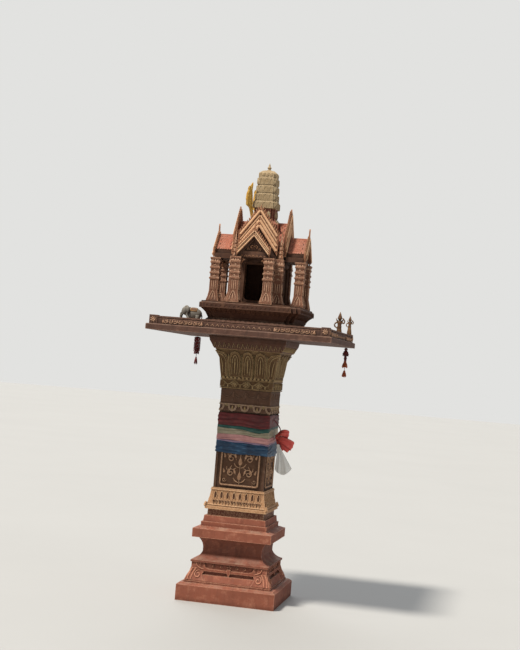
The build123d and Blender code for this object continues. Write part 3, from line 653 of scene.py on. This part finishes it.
def carve_shaft_head(side, faint, shape):
    place = on_wall(side, SHAFT_FACE)
    collar = on_wall(side, COLLAR_FACE)
    for x in (-105, -35, 35, 105):
        rosette(shape, x, 1071, 10, place, 6, 5, 6)
        swag(faint, x, 1146, 62, 24, place, 6, 2.6)
        swag(faint, x, 1128, 50, 18, place, 4, 2)
        swag(shape, x, 1204, 46, 19, collar, 6, 4)
    for x in (-70, 0, 70):
        faint.stroke([(x, 1112), (x, 1104), (x, 1092)], 5, 2.6, place)
        rosette(shape, x, 1189.5, 16, on_wall(side, COLLAR_BAND), 7, 4)
    shape.leaves((-105, -35, 35, 105), 1170, 9, 15, 4, collar)
    shape.leaves((-70, 0, 70), 1046, 12, 24, 3.5, place)
    faint.leaves((-70, 0, 70), 1118, 14, 34, 3.5, place)
    faint.strokes(place, [(bar(139, z), 4, 2.4, 0.95) for z in (1084, 1156)])


def carve_capital(side, shape):
    place = on_slope(side, CAPITAL_EDGE)
    arch = curve([(-14, 1240), (-15, 1310), (-9, 1336), (0, 1346), (9, 1336), (15, 1310),
                  (14, 1240)], 3)
    petal = [(arch, 5, 4, 0.8), ([(0, 1246), (0, 1262), (0, 1300), (0, 1328)], 9, 5.5, 0.35)]
    petal += [([(x, 1232), (x, 1290), (x, 1350)], 5, 2.5, 0.5) for x in (-36, 36)]
    for cell in cells(place, (-72, 0, 72)):
        shape.strokes(cell, petal)
    corner = curve([(124, 1240), (125, 1308), (140, 1340), (170, 1352)])
    for way in WAYS:
        shape.strokes(on_slope(side, CAPITAL_EDGE, way), [
            (corner, 5, 4, 0.8), ([(137, 1244), (141, 1290), (150, 1326)], 7, 4.5, 0.35)])
    shape.leaves(range(-132, 133, 22), 1217.5, 15, 13, 3.5, place)
    chevrons(shape, on_slope(side, CAPITAL_LIP), 26, 7, 9, 1384, 1410, 4, 2.6, 0.6)


def carve_tray(side, shape):
    place = on_wall(side, TRAY_FACE)
    for i in range(8):
        bend = 1 if i % 2 else -1
        for x in (-209 - i * 26.5, 209 + i * 26.5):
            curl = spiral(x, 1493, 10.5, 2.5, 110 + 90 * bend, 1.15 * bend)
            hook = [(x + 8, 1484), (x + 13, 1493), (x + 10, 1503)]
            shape.strokes(place, [(curl, 5, 4), (hook, 6, 3.6)])
    shape.leaves((-408, -197, 197, 408), 1483, 12, 20, 5, place)
    for x in (-464, 464):
        rosette(shape, x, 1501, 15, place, 7, 3.6)
    chevrons(shape, on_wall(side, TRAY_RECESS), 28, 6, 9, 1487, 1498, 4.5, 1.6)


def carve_shrine_base(side, shape):
    for z, height in ((1518, 24), (1593, -26)):
        shape.leaves(range(-189, 190, 27), z, 22, height, 4, on_slope(side, BASE_COVE), 0.7)
    chevrons(shape, on_wall(side, BASE_SLAB), 25, 9, 8, 1603, 1615, 4, 2.2)


def carve_columns(side, shape):
    arch = curve([(-17, 1646), (-14, 1668), (0, 1694), (14, 1668), (17, 1646)])
    rows = [(arch, 5, 3.2, 0.7), ([(0, 1648), (0, 1664), (0, 1682)], 7, 3.6, 0.3),
            ([(0, 1700), (0, 1728), (0, 1752)], 6.5, 3, 0.4)]
    rows += [([(x, 1704), (x, 1728), (x, 1754)], 4.5, 2.4, 0.6) for x in (-11, 11)]
    for z in (1773, 1803, 1833):
        rows += [([(-13, z), (0, z + 9), (13, z)], 4, 2.4, 0.5),
                 ([(0, z - 2), (0, z + 5), (0, z + 12)], 5, 2.6, 0.4)]
    posts = [(on_side(side, x, 240, 0), SIDES, COLUMN) for x in (-92, 92)]
    posts.append((on_side(side, PIER_AT, PIER_AT, 0), (side, (side + 1) % 4), PIER))
    for centre, faces, profile in posts:
        for face in faces:
            place = on_post(centre, face, profile)
            shape.strokes(place, rows)
            shape.leaves((-14, 0, 14), 1858, 12, 15, 3, place, 0.65)


def dress_gable(shape, pale, side, half, apex, slope, drop, front, steps, count, leaf):
    """Pale strips, partly a painted highlight, along the barge boards of one gable, with flame
    leaves over them.
    """
    foot = apex - slope * half
    run = math.hypot(half - 4, slope * (half - 4))
    dx, dz = (4 - half) / run, slope * (half - 4) / run
    tail = [(half, foot + drop), (half - 9, foot + drop * 0.5), (half - 4, foot + 2),
            (half + 3, foot - 10), (half + 8, foot + drop * 0.4), (half + 9, foot + drop + 16)]
    for way in WAYS:
        place = on_wall(side, front, way)
        for i in range(count):
            flame = leaf_outline((i + 0.5) / count * run, -2, leaf * 0.8,
                                 leaf * (1 + 0.25 * i / count), lean=leaf * 0.48)
            shape.plate([(half + dx * a + dz * b, foot + drop + dz * a - dx * b)
                         for a, b in flame], 3, 13, place, 0.7)
        for k, depth in enumerate(steps):
            rise = drop * (k + 0.5) / len(steps)
            strip = [(half * (1 - t), foot + slope * half * t + rise)
                     for t in (0.02, 0.35, 0.68, 0.98)]
            width = drop / len(steps) * (0.62 if k < 2 else 0.5)
            pale.stroke(strip, width, 3.4, on_wall(side, front + depth, way), 0.9)
        shape.plate(tail, 4, 14, place, 0.7)


def dress_gables(side, porch, upper, pale):
    dress_gable(porch, pale, side, 88, 1997, PORCH_SLOPE, 38, PORCH_FRONT, (18, 11, 15),
                9, 15)
    dress_gable(upper, pale, side, 106, 2060, UPPER_SLOPE, 110, UPPER_FRONT, (18, 15, 10, 16),
                11, 17)
    scroll_pair(porch, 1928, 24, on_wall(side, PORCH_FIELD), 6, 6)
    chevrons(porch, on_wall(side, PORCH_FRONT), 21, 3, 7, 1888, 1894, 4.5, 3)
    bracket = [(68, 1882), (58, 1880), (44, 1868), (52, 1866), (62, 1852), (68, 1840)]
    for way in WAYS:
        porch.stroke(spiral(34, 1928, 9, 2, 200, -1), 4.5, 4.5, on_wall(side, PORCH_FIELD, way))
        porch.plate(bracket, -16, -6, on_wall(side, PORCH_FRONT, way), 0.8)


def tile_slope(shape, side, way, ridge, slope, reach, near, far, across, down):
    """Rows of round-ended tiles on one slope of a roof that runs out from the axis."""
    tilt = math.atan(slope)
    c, s = math.cos(tilt), math.sin(tilt)
    rows = int(reach / c / down)
    pitch = reach / c / rows
    count = int((far - near) / across)
    width = (far - near) / count
    for row in range(rows):
        head, foot = row * pitch, (row + 1) * pitch
        for i in range(count):
            shift = (0.25 if row % 2 else -0.25) * (0 < i < count - 1)
            middle = near + (i + 0.5 + shift) * width
            outline = [(middle + width * share, t) for share, t in (
                (-0.47, head), (0.47, head), (0.47, foot - 3), (0.25, foot + 2),
                (-0.25, foot + 2), (-0.47, foot - 3))]
            rings = []
            for lift, rise in ((-0.6, 0), (2.6, 0.9)):
                ring = []
                for out, t in outline:
                    high = lift + rise * (t > head + 1)
                    x = t * c + high * s
                    ring.append(on_side(side, way * x, out, ridge - t * s + high * c))
                rings.append(ring)
            shape.loft(rings)


def tile_roofs(side, shape):
    for way in WAYS:
        tile_slope(shape, side, way, PORCH_RIDGE, PORCH_SLOPE, 75, 157, 249, 13, 15)
        tile_slope(shape, side, way, UPPER_RIDGE, UPPER_SLOPE, 110, 90, 135, 15, 17)
    cap = ((-6, -5), (6, -5), (4, 4), (0, 7), (-4, 4))
    for ridge, near, far in ((PORCH_RIDGE, 157, 249), (UPPER_RIDGE, 70, 135)):
        shape.loft([[on_side(side, x, out, ridge + z) for x, z in cap] for out in (near, far)])


def frame_openings(side, shape):
    """Raised frames round the doorway and the niches."""
    place = on_wall(side, WALL_FACE)
    bars = [[(x, 1636), (x, 1749), (x, 1862)] for x in (-66, 66)]
    bars += [bar(70, 1862), bar(72, 1642)]
    shape.strokes(place, [(path, 9, 5, 0.95) for path in bars])
    shape.plate([(-40, 1866), (40, 1866), (26, 1880), (0, 1900), (-26, 1880)], -1, 4, place, 0.8)
    for way in WAYS:
        shape.stroke(spiral(50, 1880, 11, 3, 180, 1.1), 5, 4, on_wall(side, WALL_FACE, way))
    if side:
        niche = on_wall(side, NICHE_BACK)
        scroll_pair(shape, 1690, 34, niche, 8, 5)
        scroll_pair(shape, 1770, 28, niche, 7, 5)
        shape.leaves((0,), 1800, 30, 44, 5, niche, 0.65)


def dress_pinnacles(side, shape):
    centre = on_side(side, PIER_AT, PIER_AT, 0)
    half = 13.5
    for low in (1891, 1915, 1939, 1963):
        for face in SIDES:
            place = on_post(centre, face, [(low, half), (low + 24, half)])
            shape.leaves((0,), low + 4, half, 17, 2.4, place, 0.65)
        half *= 0.86
    spire = [(half * share, up) for share, up in (
        (1, 0), (0.7, 6), (0.8, 10), (0.45, 16), (0.6, 22), (0.35, 30), (0.4, 36))]
    shape.lathe(spire + [(1.6, 52), (0.6, 83)], (*centre[:2], 1987), 10)


# The tower and its gold leaves

def dress_tower():
    """Arches on the tiers, leaves at the foot and the cap, and a turned finial."""
    shape = Shape()
    for side in SIDES:
        for k, half in enumerate(TIERS):
            low = TIER_FOOT + TIER_RISE * k
            for x, reach in ((-half * 0.5, 8.5), (0, 11), (half * 0.5, 8.5)):
                arch = curve([(x - reach, low + 5), (x - reach, low + 20), (x, low + 36),
                              (x + reach, low + 20), (x + reach, low + 5)], 3)
                shape.stroke(arch, 3.2, 1.6, on_wall(side, half), 0.75)
            step = on_wall(side, half * 0.87)
            shape.leaves((-half * 0.8, half * 0.8), low + 4, 11, 31, 4, step, 0.65)
        shape.strokes(on_slope(side, TOWER_FOOT), [
            ([(i * 20, 2097), (i * 18, 2108), (i * 17, 2121)], 12, 3, 0.4) for i in range(-2, 3)])
        shape.leaves((-28, 0, 28), 2128, 22, 40, 4, on_wall(side, TOWER_NECK), 0.7)
        shape.leaves((-22, 0, 22), 2360, 19, 26, 3, on_slope(side, TOWER_CAP), 0.7)
    shape.lathe([(15, 0), (16, 4), (9, 8), (7, 11), (11, 16), (12, 20), (8, 25), (5, 30),
                 (6, 33), (3.2, 38), (0.6, 46)], (0, 0, TOWER_CAP[-1][0]), 14)
    shape.piece("tower_carving", "gold_concrete", "gold_concrete", replaces=("tower_finial",))


def raise_gold_leaves():
    """An upright gold leaf at each of the tower's two left corners."""
    leaves = Shape()
    blade = [(80, 2094), (93, 2104), (102, 2140), (113, 2172), (131, 2194), (140, 2222),
             (137, 2254), (124, 2286), (103, 2318), (106, 2284), (101, 2250), (98, 2216),
             (97, 2184), (88, 2148), (78, 2114)]
    veins = [([(88, 2110), (95, 2140), (104, 2172)], 7, 4.5, 0.4)]
    for i in range(5):
        z = 2182 + i * 22
        veins += [(curve([(102 + i, z), (112 + i, z + 5), (119 - i, z + 22)]), 6, 5, 0.3),
                  ([(120, z), (132 - i, z + 8), (134 - 3 * i, z + 26)], 7, 4, 0.3)]
    for turn in (135, 225):
        for way in WAYS:
            place = on_blade(math.radians(turn), way)
            leaves.plate(blade, -4, 3, place, 0.86)
            leaves.strokes(place, veins)
    leaves.piece("gold_leaves", "leaf_gold", "gold_concrete", replaces=("tower_leaves",))


# Cloths, bow, scarf and garlands

CLOTH_HALF = 143.0
CLOTH_CORNER = 9
GARLAND_TOP = 1446.4
GARLAND_BACK = 476


def sheet_mesh(shape, fn, nu, nv, thick, closed=False):
    """Thin cloth through fn(u, v), both from 0 to 1, with two skins and an edge."""
    columns = nu if closed else nu + 1
    grid = [[Vector(fn(i / nu, j / nv)) for j in range(nv + 1)] for i in range(columns)]

    def at(i, j):
        i = i % columns if closed else min(max(i, 0), columns - 1)
        return grid[i][min(max(j, 0), nv)]

    rows = nv + 1
    total = columns * rows
    skins = ([], [])
    for i in range(columns):
        for j in range(rows):
            normal = (at(i + 1, j) - at(i - 1, j)).cross(at(i, j + 1) - at(i, j - 1))
            normal.normalize()
            skins[0].append(grid[i][j] + normal * thick / 2)
            skins[1].append(grid[i][j] - normal * thick / 2)
    faces = []
    for i in range(nu):
        a = i * rows
        b = (i + 1) % columns * rows
        for j in range(nv):
            faces.append((a + j, b + j, b + j + 1, a + j + 1))
            faces.append((total + a + j, total + a + j + 1, total + b + j + 1, total + b + j))
        for j in (0, nv):
            faces.append((a + j, total + a + j, total + b + j, b + j))
    if not closed:
        for a in (0, nu * rows):
            for j in range(nv):
                faces.append((a + j, a + j + 1, total + a + j + 1, total + a + j))
    shape.add(skins[0] + skins[1], faces)


def loop_point(share, half, corner):
    """Point and outward direction on a square loop with rounded corners."""
    straight = 2 * (half - corner)
    bend = math.pi * corner / 2
    share = share * 4 % 4
    side = int(share)
    way = (share - side) * (straight + bend)
    if way < straight:
        x, y, nx, ny = way - straight / 2, -half, 0.0, -1.0
    else:
        a = (way - straight) / corner
        nx, ny = math.sin(a), -math.cos(a)
        x, y = half - corner + corner * nx, -(half - corner) + corner * ny
    angle = side * math.pi / 2
    return turned(x, y, angle), turned(nx, ny, angle)


def along_loop(marks, share):
    """Height at a share of the way round, smoothly between (share, height) marks."""
    marks = marks + [(marks[0][0] + 1, marks[0][1])]
    for (s0, z0), (s1, z1) in zip(marks, marks[1:]):
        if s0 <= share <= s1:
            t = (share - s0) / (s1 - s0)
            return z0 + (z1 - z0) * t * t * (3 - 2 * t)
    return marks[0][1]


def cloth_band(name, look, slot, high, low, folds, depth, seed, replaces=()):
    """Cloth tied round the shaft, gathered into soft folds that run round it."""
    draw = random.Random(seed)
    phase = [draw.uniform(0, 6.28) for _ in range(8)]

    def point(u, v):
        around = 2 * math.pi * u
        wander = 0.9 * math.sin(around + phase[0]) + 0.5 * math.sin(3 * around + phase[1])
        wander += 0.22 * math.sin(7 * around + phase[6])
        fold = abs(math.sin(math.pi * (folds * v + 0.5 * wander)))
        slack = 0.55 + 0.45 * math.sin(2 * around + 5 * v + phase[7])
        drift = 2.2 * math.sin(3 * around + phase[3])
        pucker = 0.5 + 0.5 * math.sin(21 * around + phase[2] + drift)
        swell = math.sin(math.pi * min(max(v, 0.0), 1.0)) ** 0.45
        out = 1.0 + swell * (1.2 + depth * slack * fold ** 1.5 + 0.8 * pucker * fold)
        out += 0.5 * math.sin(9 * around + 7 * v + phase[4])
        edge = 1.2 * math.sin(5 * around + phase[4]) + 0.8 * math.sin(13 * around + phase[5])
        top, bottom = along_loop(high, u), along_loop(low, u)
        (x, y), (nx, ny) = loop_point(u, CLOTH_HALF, CLOTH_CORNER)
        lift = bottom + (top - bottom) * v + edge * abs(2 * v - 1) ** 3
        return x + nx * max(out, 0.9), y + ny * max(out, 0.9), lift

    shape = Shape()
    sheet_mesh(shape, point, 240, 5 * folds + 7, 1.0, closed=True)
    obj = shape.piece(name, look, slot, smooth=True, replaces=replaces)


def raised(marks, by):
    return [(share, z + by) for share, z in marks]


def tie_cloths():
    """Six cloths, each tucked a little way under the lower edge of the one above."""
    red_low = [(0, 957), (0.1, 956), (0.2, 952), (0.25, 955), (0.35, 961), (0.48, 965),
               (0.6, 958), (0.8, 956)]
    green_low = [(0, 945), (0.1, 941), (0.2, 926), (0.24, 935), (0.3, 950), (0.48, 956),
                 (0.75, 946)]
    shares = (0, 0.1, 0.2, 0.25, 0.35, 0.48, 0.75)
    cream_low = list(zip(shares, (909, 912, 905, 901, 907, 905, 908)))
    pink_low = list(zip(shares, (880, 877, 872, 869, 876, 883, 879)))
    lilac_low = raised(pink_low, -8)
    blue_low = list(zip(shares, (808, 806, 807, 804, 800, 796, 806)))
    top = [(0, 1028), (0.3, 1031), (0.6, 1029)]
    for name, slot, tuck, low, height, folds, depth, seed, replaces in (
        ("red", "red_cloth", 0, red_low, 0.076, 3, 3.4, 3, ("cloth_red",)),
        ("green", "green_cloth", 3, green_low, 0.019, 1, 3.4, 5, ("cloth_green",)),
        ("cream", "pink_cloth", 2, cream_low, 0.043, 2, 3.0, 7, ()),
        ("pink", "pink_cloth", 2, pink_low, 0.035, 2, 3.4, 9, ("cloth_pink",)),
        ("lilac", "pink_cloth", 2, lilac_low, 0.0135, 1, 2.4, 11, ()),
        ("blue", "blue_cloth", 2, blue_low, 0.073, 3, 5.2, 13, ("cloth_blue",)),
    ):
        cloth_band(name + "_band", name + "_cloth", slot, raised(top, tuck), low,
                   folds, depth, seed, replaces)
        top = low


def ribbon(shape, path, width, across, crease):
    """Band of cloth along a smooth path; width is its start, its swell and its end."""
    run = [Vector(p) for p in curve(path, 6)]
    aside = Vector(across).normalized()
    last = len(run) - 1
    start, swell, end = width

    def point(u, v):
        i = round(u * last)
        along = (run[min(i + 1, last)] - run[max(i - 1, 0)]).normalized()
        side = (aside - along * aside.dot(along)).normalized()
        normal = along.cross(side)
        wide = start * (1 - u) + end * u + swell * math.sin(math.pi * u)
        t = 2 * v - 1
        wave = crease * (math.cos(t * 7.5 + 2 * u) + 0.5 * math.cos(t * 15 + 5 * u))
        return run[i] + side * wide / 2 * t + normal * (wave + 0.12 * wide * (1 - t * t))

    sheet_mesh(shape, point, last, 16, 1.1)


def tie_bow():
    shape = Shape()
    for path, width, across, crease in (
        ([(162, 28, 914), (180, 6, 930), (208, -2, 938), (226, 12, 930), (216, 32, 918),
          (192, 44, 912), (162, 40, 908)], (18, 22, 18), (0.1, 0.1, 1), 0.9),
        ([(164, 26, 906), (196, -2, 900), (234, -6, 884), (254, 10, 869), (242, 30, 864),
          (208, 42, 878), (164, 40, 900)], (18, 30, 18), (0.35, 0.1, 1), 1.0),
        ([(166, 24, 900), (190, 6, 876), (214, 2, 856), (238, 8, 838)],
         (14, 8, 24), (0.8, -0.2, 1), 1.2),
        ([(164, 22, 896), (180, 8, 872), (194, 4, 852), (204, 6, 838)],
         (12, 6, 20), (1, -0.3, 0.3), 1.2),
    ):
        ribbon(shape, path, width, across, crease)
    obj = shape.piece("coral_bow", "bow_cloth", "bow_cloth", smooth=True, replaces=("red_bow",))
    knot = Shape()
    knot.lathe([(3, -16), (12, -12), (17, -3), (15, 5), (18, 11), (10, 17), (3, 19)],
               (168, 30, 908), 20, flute=0.1, flutes=5)
    knot = knot.piece("bow_knot", "bow_cloth", "bow_cloth", smooth=True)
    tail = Shape()
    ribbon(tail, [(149, -44, 1008), (164, -22, 988), (182, -14, 962), (185, -8, 940),
                  (178, 16, 920)], (8, 2, 10), (0.2, 1, 0.3), 0.5)
    tail = tail.piece("red_ribbon", "red_cloth", "bow_cloth", smooth=True)


def hang_scarf():
    """End of a white scarf that hangs from the bow, with two corners of uneven length."""
    top = 864

    def point(u, v):
        left = 173 + 3 * u + 2 * math.sin(5 * u)
        right = 188 + 80 * u
        t = 2 * v - 1
        low = 706 + 25 * t ** 2 if t < 0 else 706 + 39 * t ** 1.8
        fold = math.sin(v * 12 + 2.4 * u) + 0.4 * math.sin(v * 25 + 5 * u)
        sway = (1.2 + 3.4 * u) * fold * (0.4 + 0.6 * math.sin(math.pi * v))
        return left + (right - left) * v, -14 - 6 * u + sway, top - u * (top - low)

    shape = Shape()
    sheet_mesh(shape, point, 34, 34, 1.0)
    obj = shape.piece("scarf_end", "white_cloth", "white_cloth", smooth=True,
                      replaces=("white_scarf",))
    knot = Shape()
    knot.ball((179, -8, top), (10, 9, 9), 14)
    knot.piece("scarf_knot", "white_cloth", "white_cloth", smooth=True)


def hang_garland(name, x, y, rows, seed, node):
    """Sewn petals round a string, row under row; rows are (drop, radius) pairs."""
    draw = random.Random(seed)
    shape = Shape()
    shape.lathe([(2.2, -rows[-1][0]), (2.2, 0)], (x, y, GARLAND_TOP), 8)
    for k, (drop, radius) in enumerate(rows):
        count = max(6, int(radius * 0.75))
        place = on_string(x, y, radius * 0.5)
        z = GARLAND_TOP - drop
        wide = math.pi * radius / count * 1.1
        for i in range(count):
            across = (i + 0.5 * (k % 2)) / count * math.pi * radius
            tall = 12 + draw.uniform(-1.5, 1.5)
            rings = []
            for down, out, share in ((0, 0, 0.5), (0.35, 0.4, 1.0), (0.75, 0.5, 0.8),
                                     (1, 0.44, 0.15)):
                w = share * wide / 2
                rings.append([place(across + dx, z - tall * down, radius * out + dy)
                              for dx, dy in ((-w, 0), (0, 1.6), (w, 0), (0, -1.2))])
            shape.loft(rings)
    shape.piece(name, "garland_petals", "garland_petals", replaces=(node,))


def hang_tassel(shape, x, y, top, radius, length, seed):
    """Bound head with loose threads that flare below it."""
    draw = random.Random(seed)
    shape.ball((x, y, top), [radius * 0.6] * 3, 12, 6)
    for a in angles(11):
        run = [(*polar(x, y, radius * share, a), z) for share, z in (
            (0.3, top), (0.7, top - length * 0.35),
            (1, top - length * 0.8 + draw.uniform(-2, 2)),
            (0.8, top - length + draw.uniform(-3, 3)))]
        shape.tube(run, [radius * 0.2, radius * 0.22, radius * 0.2, 0.5], 6)


def hang_garlands():
    """A garland under each rear corner of the tray, with tassels on a string below it."""
    left_rows = [(2 + 9.3 * i, 19 if i < 9 else 15) for i in range(11)]
    right_rows = [(1 + 9 * i, r) for i, r in enumerate((9, 7, 14, 18, 17, 7, 8, 7, 6))]
    for side, x, rows, seed, string, tassels, name, look in (
        ("left", -453, left_rows, 21, (1345, 1318), ((1318, 9, 40, 31),),
         "left_tassel", "garland_petals"),
        ("right", 452, right_rows, 22, (1366, 1300), ((1362, 15, 34, 32), (1306, 12, 33, 33)),
         "right_tassels", "garland_orange"),
    ):
        hang_garland(side + "_garland", x, GARLAND_BACK, rows, seed, "garland_" + side)
        shape = Shape()
        shape.tube([(x, GARLAND_BACK, z) for z in string], 1.6, 6)
        for tassel in tassels:
            hang_tassel(shape, x, GARLAND_BACK, *tassel)
        shape.piece(name, look, "garland_petals", smooth=True)


# Figures on the tray

TRAY_TOP = 1495
DANCER_HEIGHT = 158  # that its measures are for


def figure_point(at, size):
    """Places a figure's own (x, y, z) where it stands."""
    return lambda *p: tuple(a + size * v for a, v in zip(at, p))


def scaled(size, values):
    return [size * v for v in values]


def dancer(shape, at, height):
    """Classical dancer: tiered skirt, bent arms, round head, tall pointed crown."""
    h = height / DANCER_HEIGHT
    p = figure_point(at, h)
    shape.lathe(((21, 0), (22, 3), (20, 7), (17, 9)), at, 20, size=h)
    gown = ((18, 9), (19, 13), (17.5, 24), (15.5, 40), (13, 56), (11.5, 64), (13, 70),
            (10.5, 76), (12.5, 90), (13.5, 98), (6, 104), (5.6, 107))
    shape.lathe(gown, at, 20, flute=0.05, flutes=10, size=h)
    shape.ball(p(0, 0, 114), scaled(h, (10, 10, 10.5)), 14)
    crown = ((13, 116), (15.5, 119), (12.5, 122), (13, 126), (10.4, 130), (10.8, 133),
             (7.6, 138), (7.2, 142), (4.2, 148), (3, 152), (0.6, 158))
    shape.lathe(crown, at, 14, size=h)
    for bend in (
        ((10, 0, 98), (20, -2, 92), (28, -4, 94), (29, -6, 106), (21, -8, 117)),
        ((-10, 0, 98), (-21, -2, 92), (-29, -4, 82), (-24, -6, 69), (-13, -8, 63)),
    ):
        arm = curve([p(*joint) for joint in bend], 3)
        shape.tube(arm, [max(3, 5.2 - 0.16 * i) * h for i in range(len(arm))])
        shape.ball(arm[-1], scaled(h, (4.4, 3.4, 5.4)), 8, 6)
    for way in WAYS:
        wing = [p(way * 9, -1, 100), p(way * 18, -1, 108), p(way * 23, 0, 120)]
        shape.tube(wing, scaled(h, (5.4, 4, 0.8)), 6)
    for a in angles(10):
        pleat = [p(*polar(0, 0, r, a), z) for r, z in ((17.5, 12), (14.5, 30), (11, 56))]
        shape.tube(pleat, scaled(h, (2.4, 1.8, 1.2)), 6)


def place_dancers():
    shape = Shape()
    dancer(shape, (412, 400, TRAY_TOP), DANCER_HEIGHT)
    dancer(shape, (464, 464, 1525), 112)
    shape.piece("dancers", "figure_paint", "figure_paint", smooth=True,
                replaces=("dancer_figures",))


def place_elephant():
    size = 1.4
    at = figure_point((-365, -60, TRAY_TOP), size)
    shape = Shape()
    for x, z, radii in ((8, 46, (35, 19, 25)), (-25, 57, (17, 15, 18)), (-23, 70, (10, 10, 9))):
        shape.ball(at(x, 0, z), scaled(size, radii), 20, 12)
    trunk = curve([at(x, 0, z) for x, z in ((-35, 56), (-42, 42), (-43, 26), (-40, 14),
                                                 (-33, 12))])
    shape.tube(trunk, scaled(size, (7.6 - 0.3 * i for i in range(len(trunk)))), 10)
    leg = ((8.4, 0), (8.7, 5), (7.2, 12), (7.8, 28), (9, 42))
    for x in (-10, 26):
        for y in (-9, 9):
            shape.lathe(leg, at(x, y, 0), 12, size=size)
    for way in WAYS:
        ear = [at(-19, way * 11, 69), at(-14, way * 18, 67), at(-10, way * 21, 54),
               at(-14, way * 18, 42)]
        shape.tube(curve(ear), [2.4, 4.4, 7, 9, 10.4, 11, 11, 10.4, 9, 7, 5, 3.4, 1.6])
        tusk = curve([at(-34, way * 6, 48), at(-40, way * 8, 40), at(-47, way * 8, 40)])
        shape.tube(tusk, scaled(size, (2.4 - 0.24 * i for i in range(len(tusk)))), 6)
    shape.tube(curve([at(38, 0, 52), at(43, 0, 40), at(42, 0, 26)]), 2.8, 6)
    shape.piece("elephant", "elephant_paint", "figure_paint", smooth=True,
                replaces=("elephant_figure",))

    def cloth(u, v):
        a = math.radians(-68 + 136 * v)
        swell = math.sqrt(1 - ((28 * u - 12) / 35) ** 2) + 0.035 + 0.01 * math.sin(30 * v)
        return at(-4 + 28 * u, 19 * swell * math.sin(a), 46 + 25 * swell * math.cos(a))

    saddle = Shape()
    sheet_mesh(saddle, cloth, 10, 20, 0.8)
    obj = saddle.piece("elephant_saddle", "figure_paint", "figure_paint", smooth=True)


def all_round(carve, *pieces):
    """Makes pieces of (name, look, slot) from the carving of all four sides."""
    shapes = [Shape() for _ in pieces]
    for side in SIDES:
        carve(side, *shapes)
    for shape, piece in zip(shapes, pieces):
        shape.piece(*piece)


all_round(carve_lion_base, ("lion_base_carving", "pale_brick", "red_concrete"))
all_round(carve_skirt, ("skirt_petals", "skirt_tan", "carved_concrete"),
          ("skirt_slot_shades", "slot_shade", "carved_concrete"))
all_round(carve_panels, ("panel_carving", "panel_tan", "carved_concrete"))
all_round(carve_shaft_head, ("shaft_head_carving", "shaft_concrete", "red_concrete"),
          ("collar_carving", "capital_tan", "carved_concrete"))
all_round(carve_capital, ("capital_carving", "capital_tan", "carved_concrete"))
all_round(carve_tray, ("tray_carving", "tray_tan", "red_concrete"))
all_round(carve_shrine_base, ("shrine_base_carving", "dark_concrete", "red_concrete"))
all_round(carve_columns, ("column_carving", "column_tan", "column_concrete"))
all_round(dress_gables, ("porch_gable_carving", "gable_concrete", "gable_concrete"),
          ("upper_gable_carving", "gable_concrete", "gable_concrete"),
          ("gable_strips", "gable_pale_highlight", "gable_concrete"))
all_round(tile_roofs, ("roof_tiling", "roof_tiles", "red_concrete"))
dress_tower()
raise_gold_leaves()
all_round(frame_openings, ("door_frames", "shaded_room_concrete", "red_concrete"))
all_round(dress_pinnacles, ("pinnacle_carving", "column_tan", "gold_concrete"))
tie_cloths()
tie_bow()
hang_scarf()
hang_garlands()
place_dancers()
place_elephant()


# Floor, light and finish

FLOOR_RADIUS = 40
FLOOR_LEVEL = -0.0005


def make_stage():
    mesh = bpy.data.meshes.new("floor")
    rim = [(*polar(0, 0, FLOOR_RADIUS, a), FLOOR_LEVEL) for a in angles(64)]
    mesh.from_pydata(rim, [], [tuple(range(64))])
    n = Nodes("floor")
    fill(n.shader, {
        "Base Color": n.mix(n.noise(0.6, 3), linear(182, 181, 178), linear(176, 175, 172)),
        "Roughness": 0.9,
    })
    mesh.materials.append(n.material)
    floor = add_object("floor", mesh)


def make_light():
    """Soft sky, a plain grey to look at, a warm sun and a cool one from behind."""
    world = bpy.data.worlds.new("studio")
    bpy.context.scene.world = world
    world.use_nodes = True
    tree = world.node_tree
    soft = tree.nodes["Background"]
    shown, path, mixed = (tree.nodes.new("ShaderNode" + kind)
                          for kind in ("Background", "LightPath", "MixShader"))
    fill(soft, {"Color": (0.93, 0.96, 1.0, 1), "Strength": 0.36})
    fill(shown, {"Color": linear(226, 226, 224)})
    fill(mixed, {"Fac": path.outputs["Is Camera Ray"], 1: soft.outputs[0], 2: shown.outputs[0]})
    fill(tree.nodes["World Output"], {"Surface": mixed.outputs[0]})
    for name, power, angle, tilt, turn, tint in (
        ("key", 3.9, 0.16, 31, -42, (1.0, 0.95, 0.87)),
        ("back", 1.3, 0.8, 52, -158, (0.94, 0.97, 1.0)),
    ):
        data = bpy.data.lights.new(name, "SUN")
        data.energy = power
        data.angle = angle
        data.color = tint
        lamp = add_object(name, data)
        lamp.rotation_euler = (math.radians(tilt), 0, math.radians(turn))


make_stage()
make_light()
bpy.context.scene.view_settings.view_transform = "Standard"
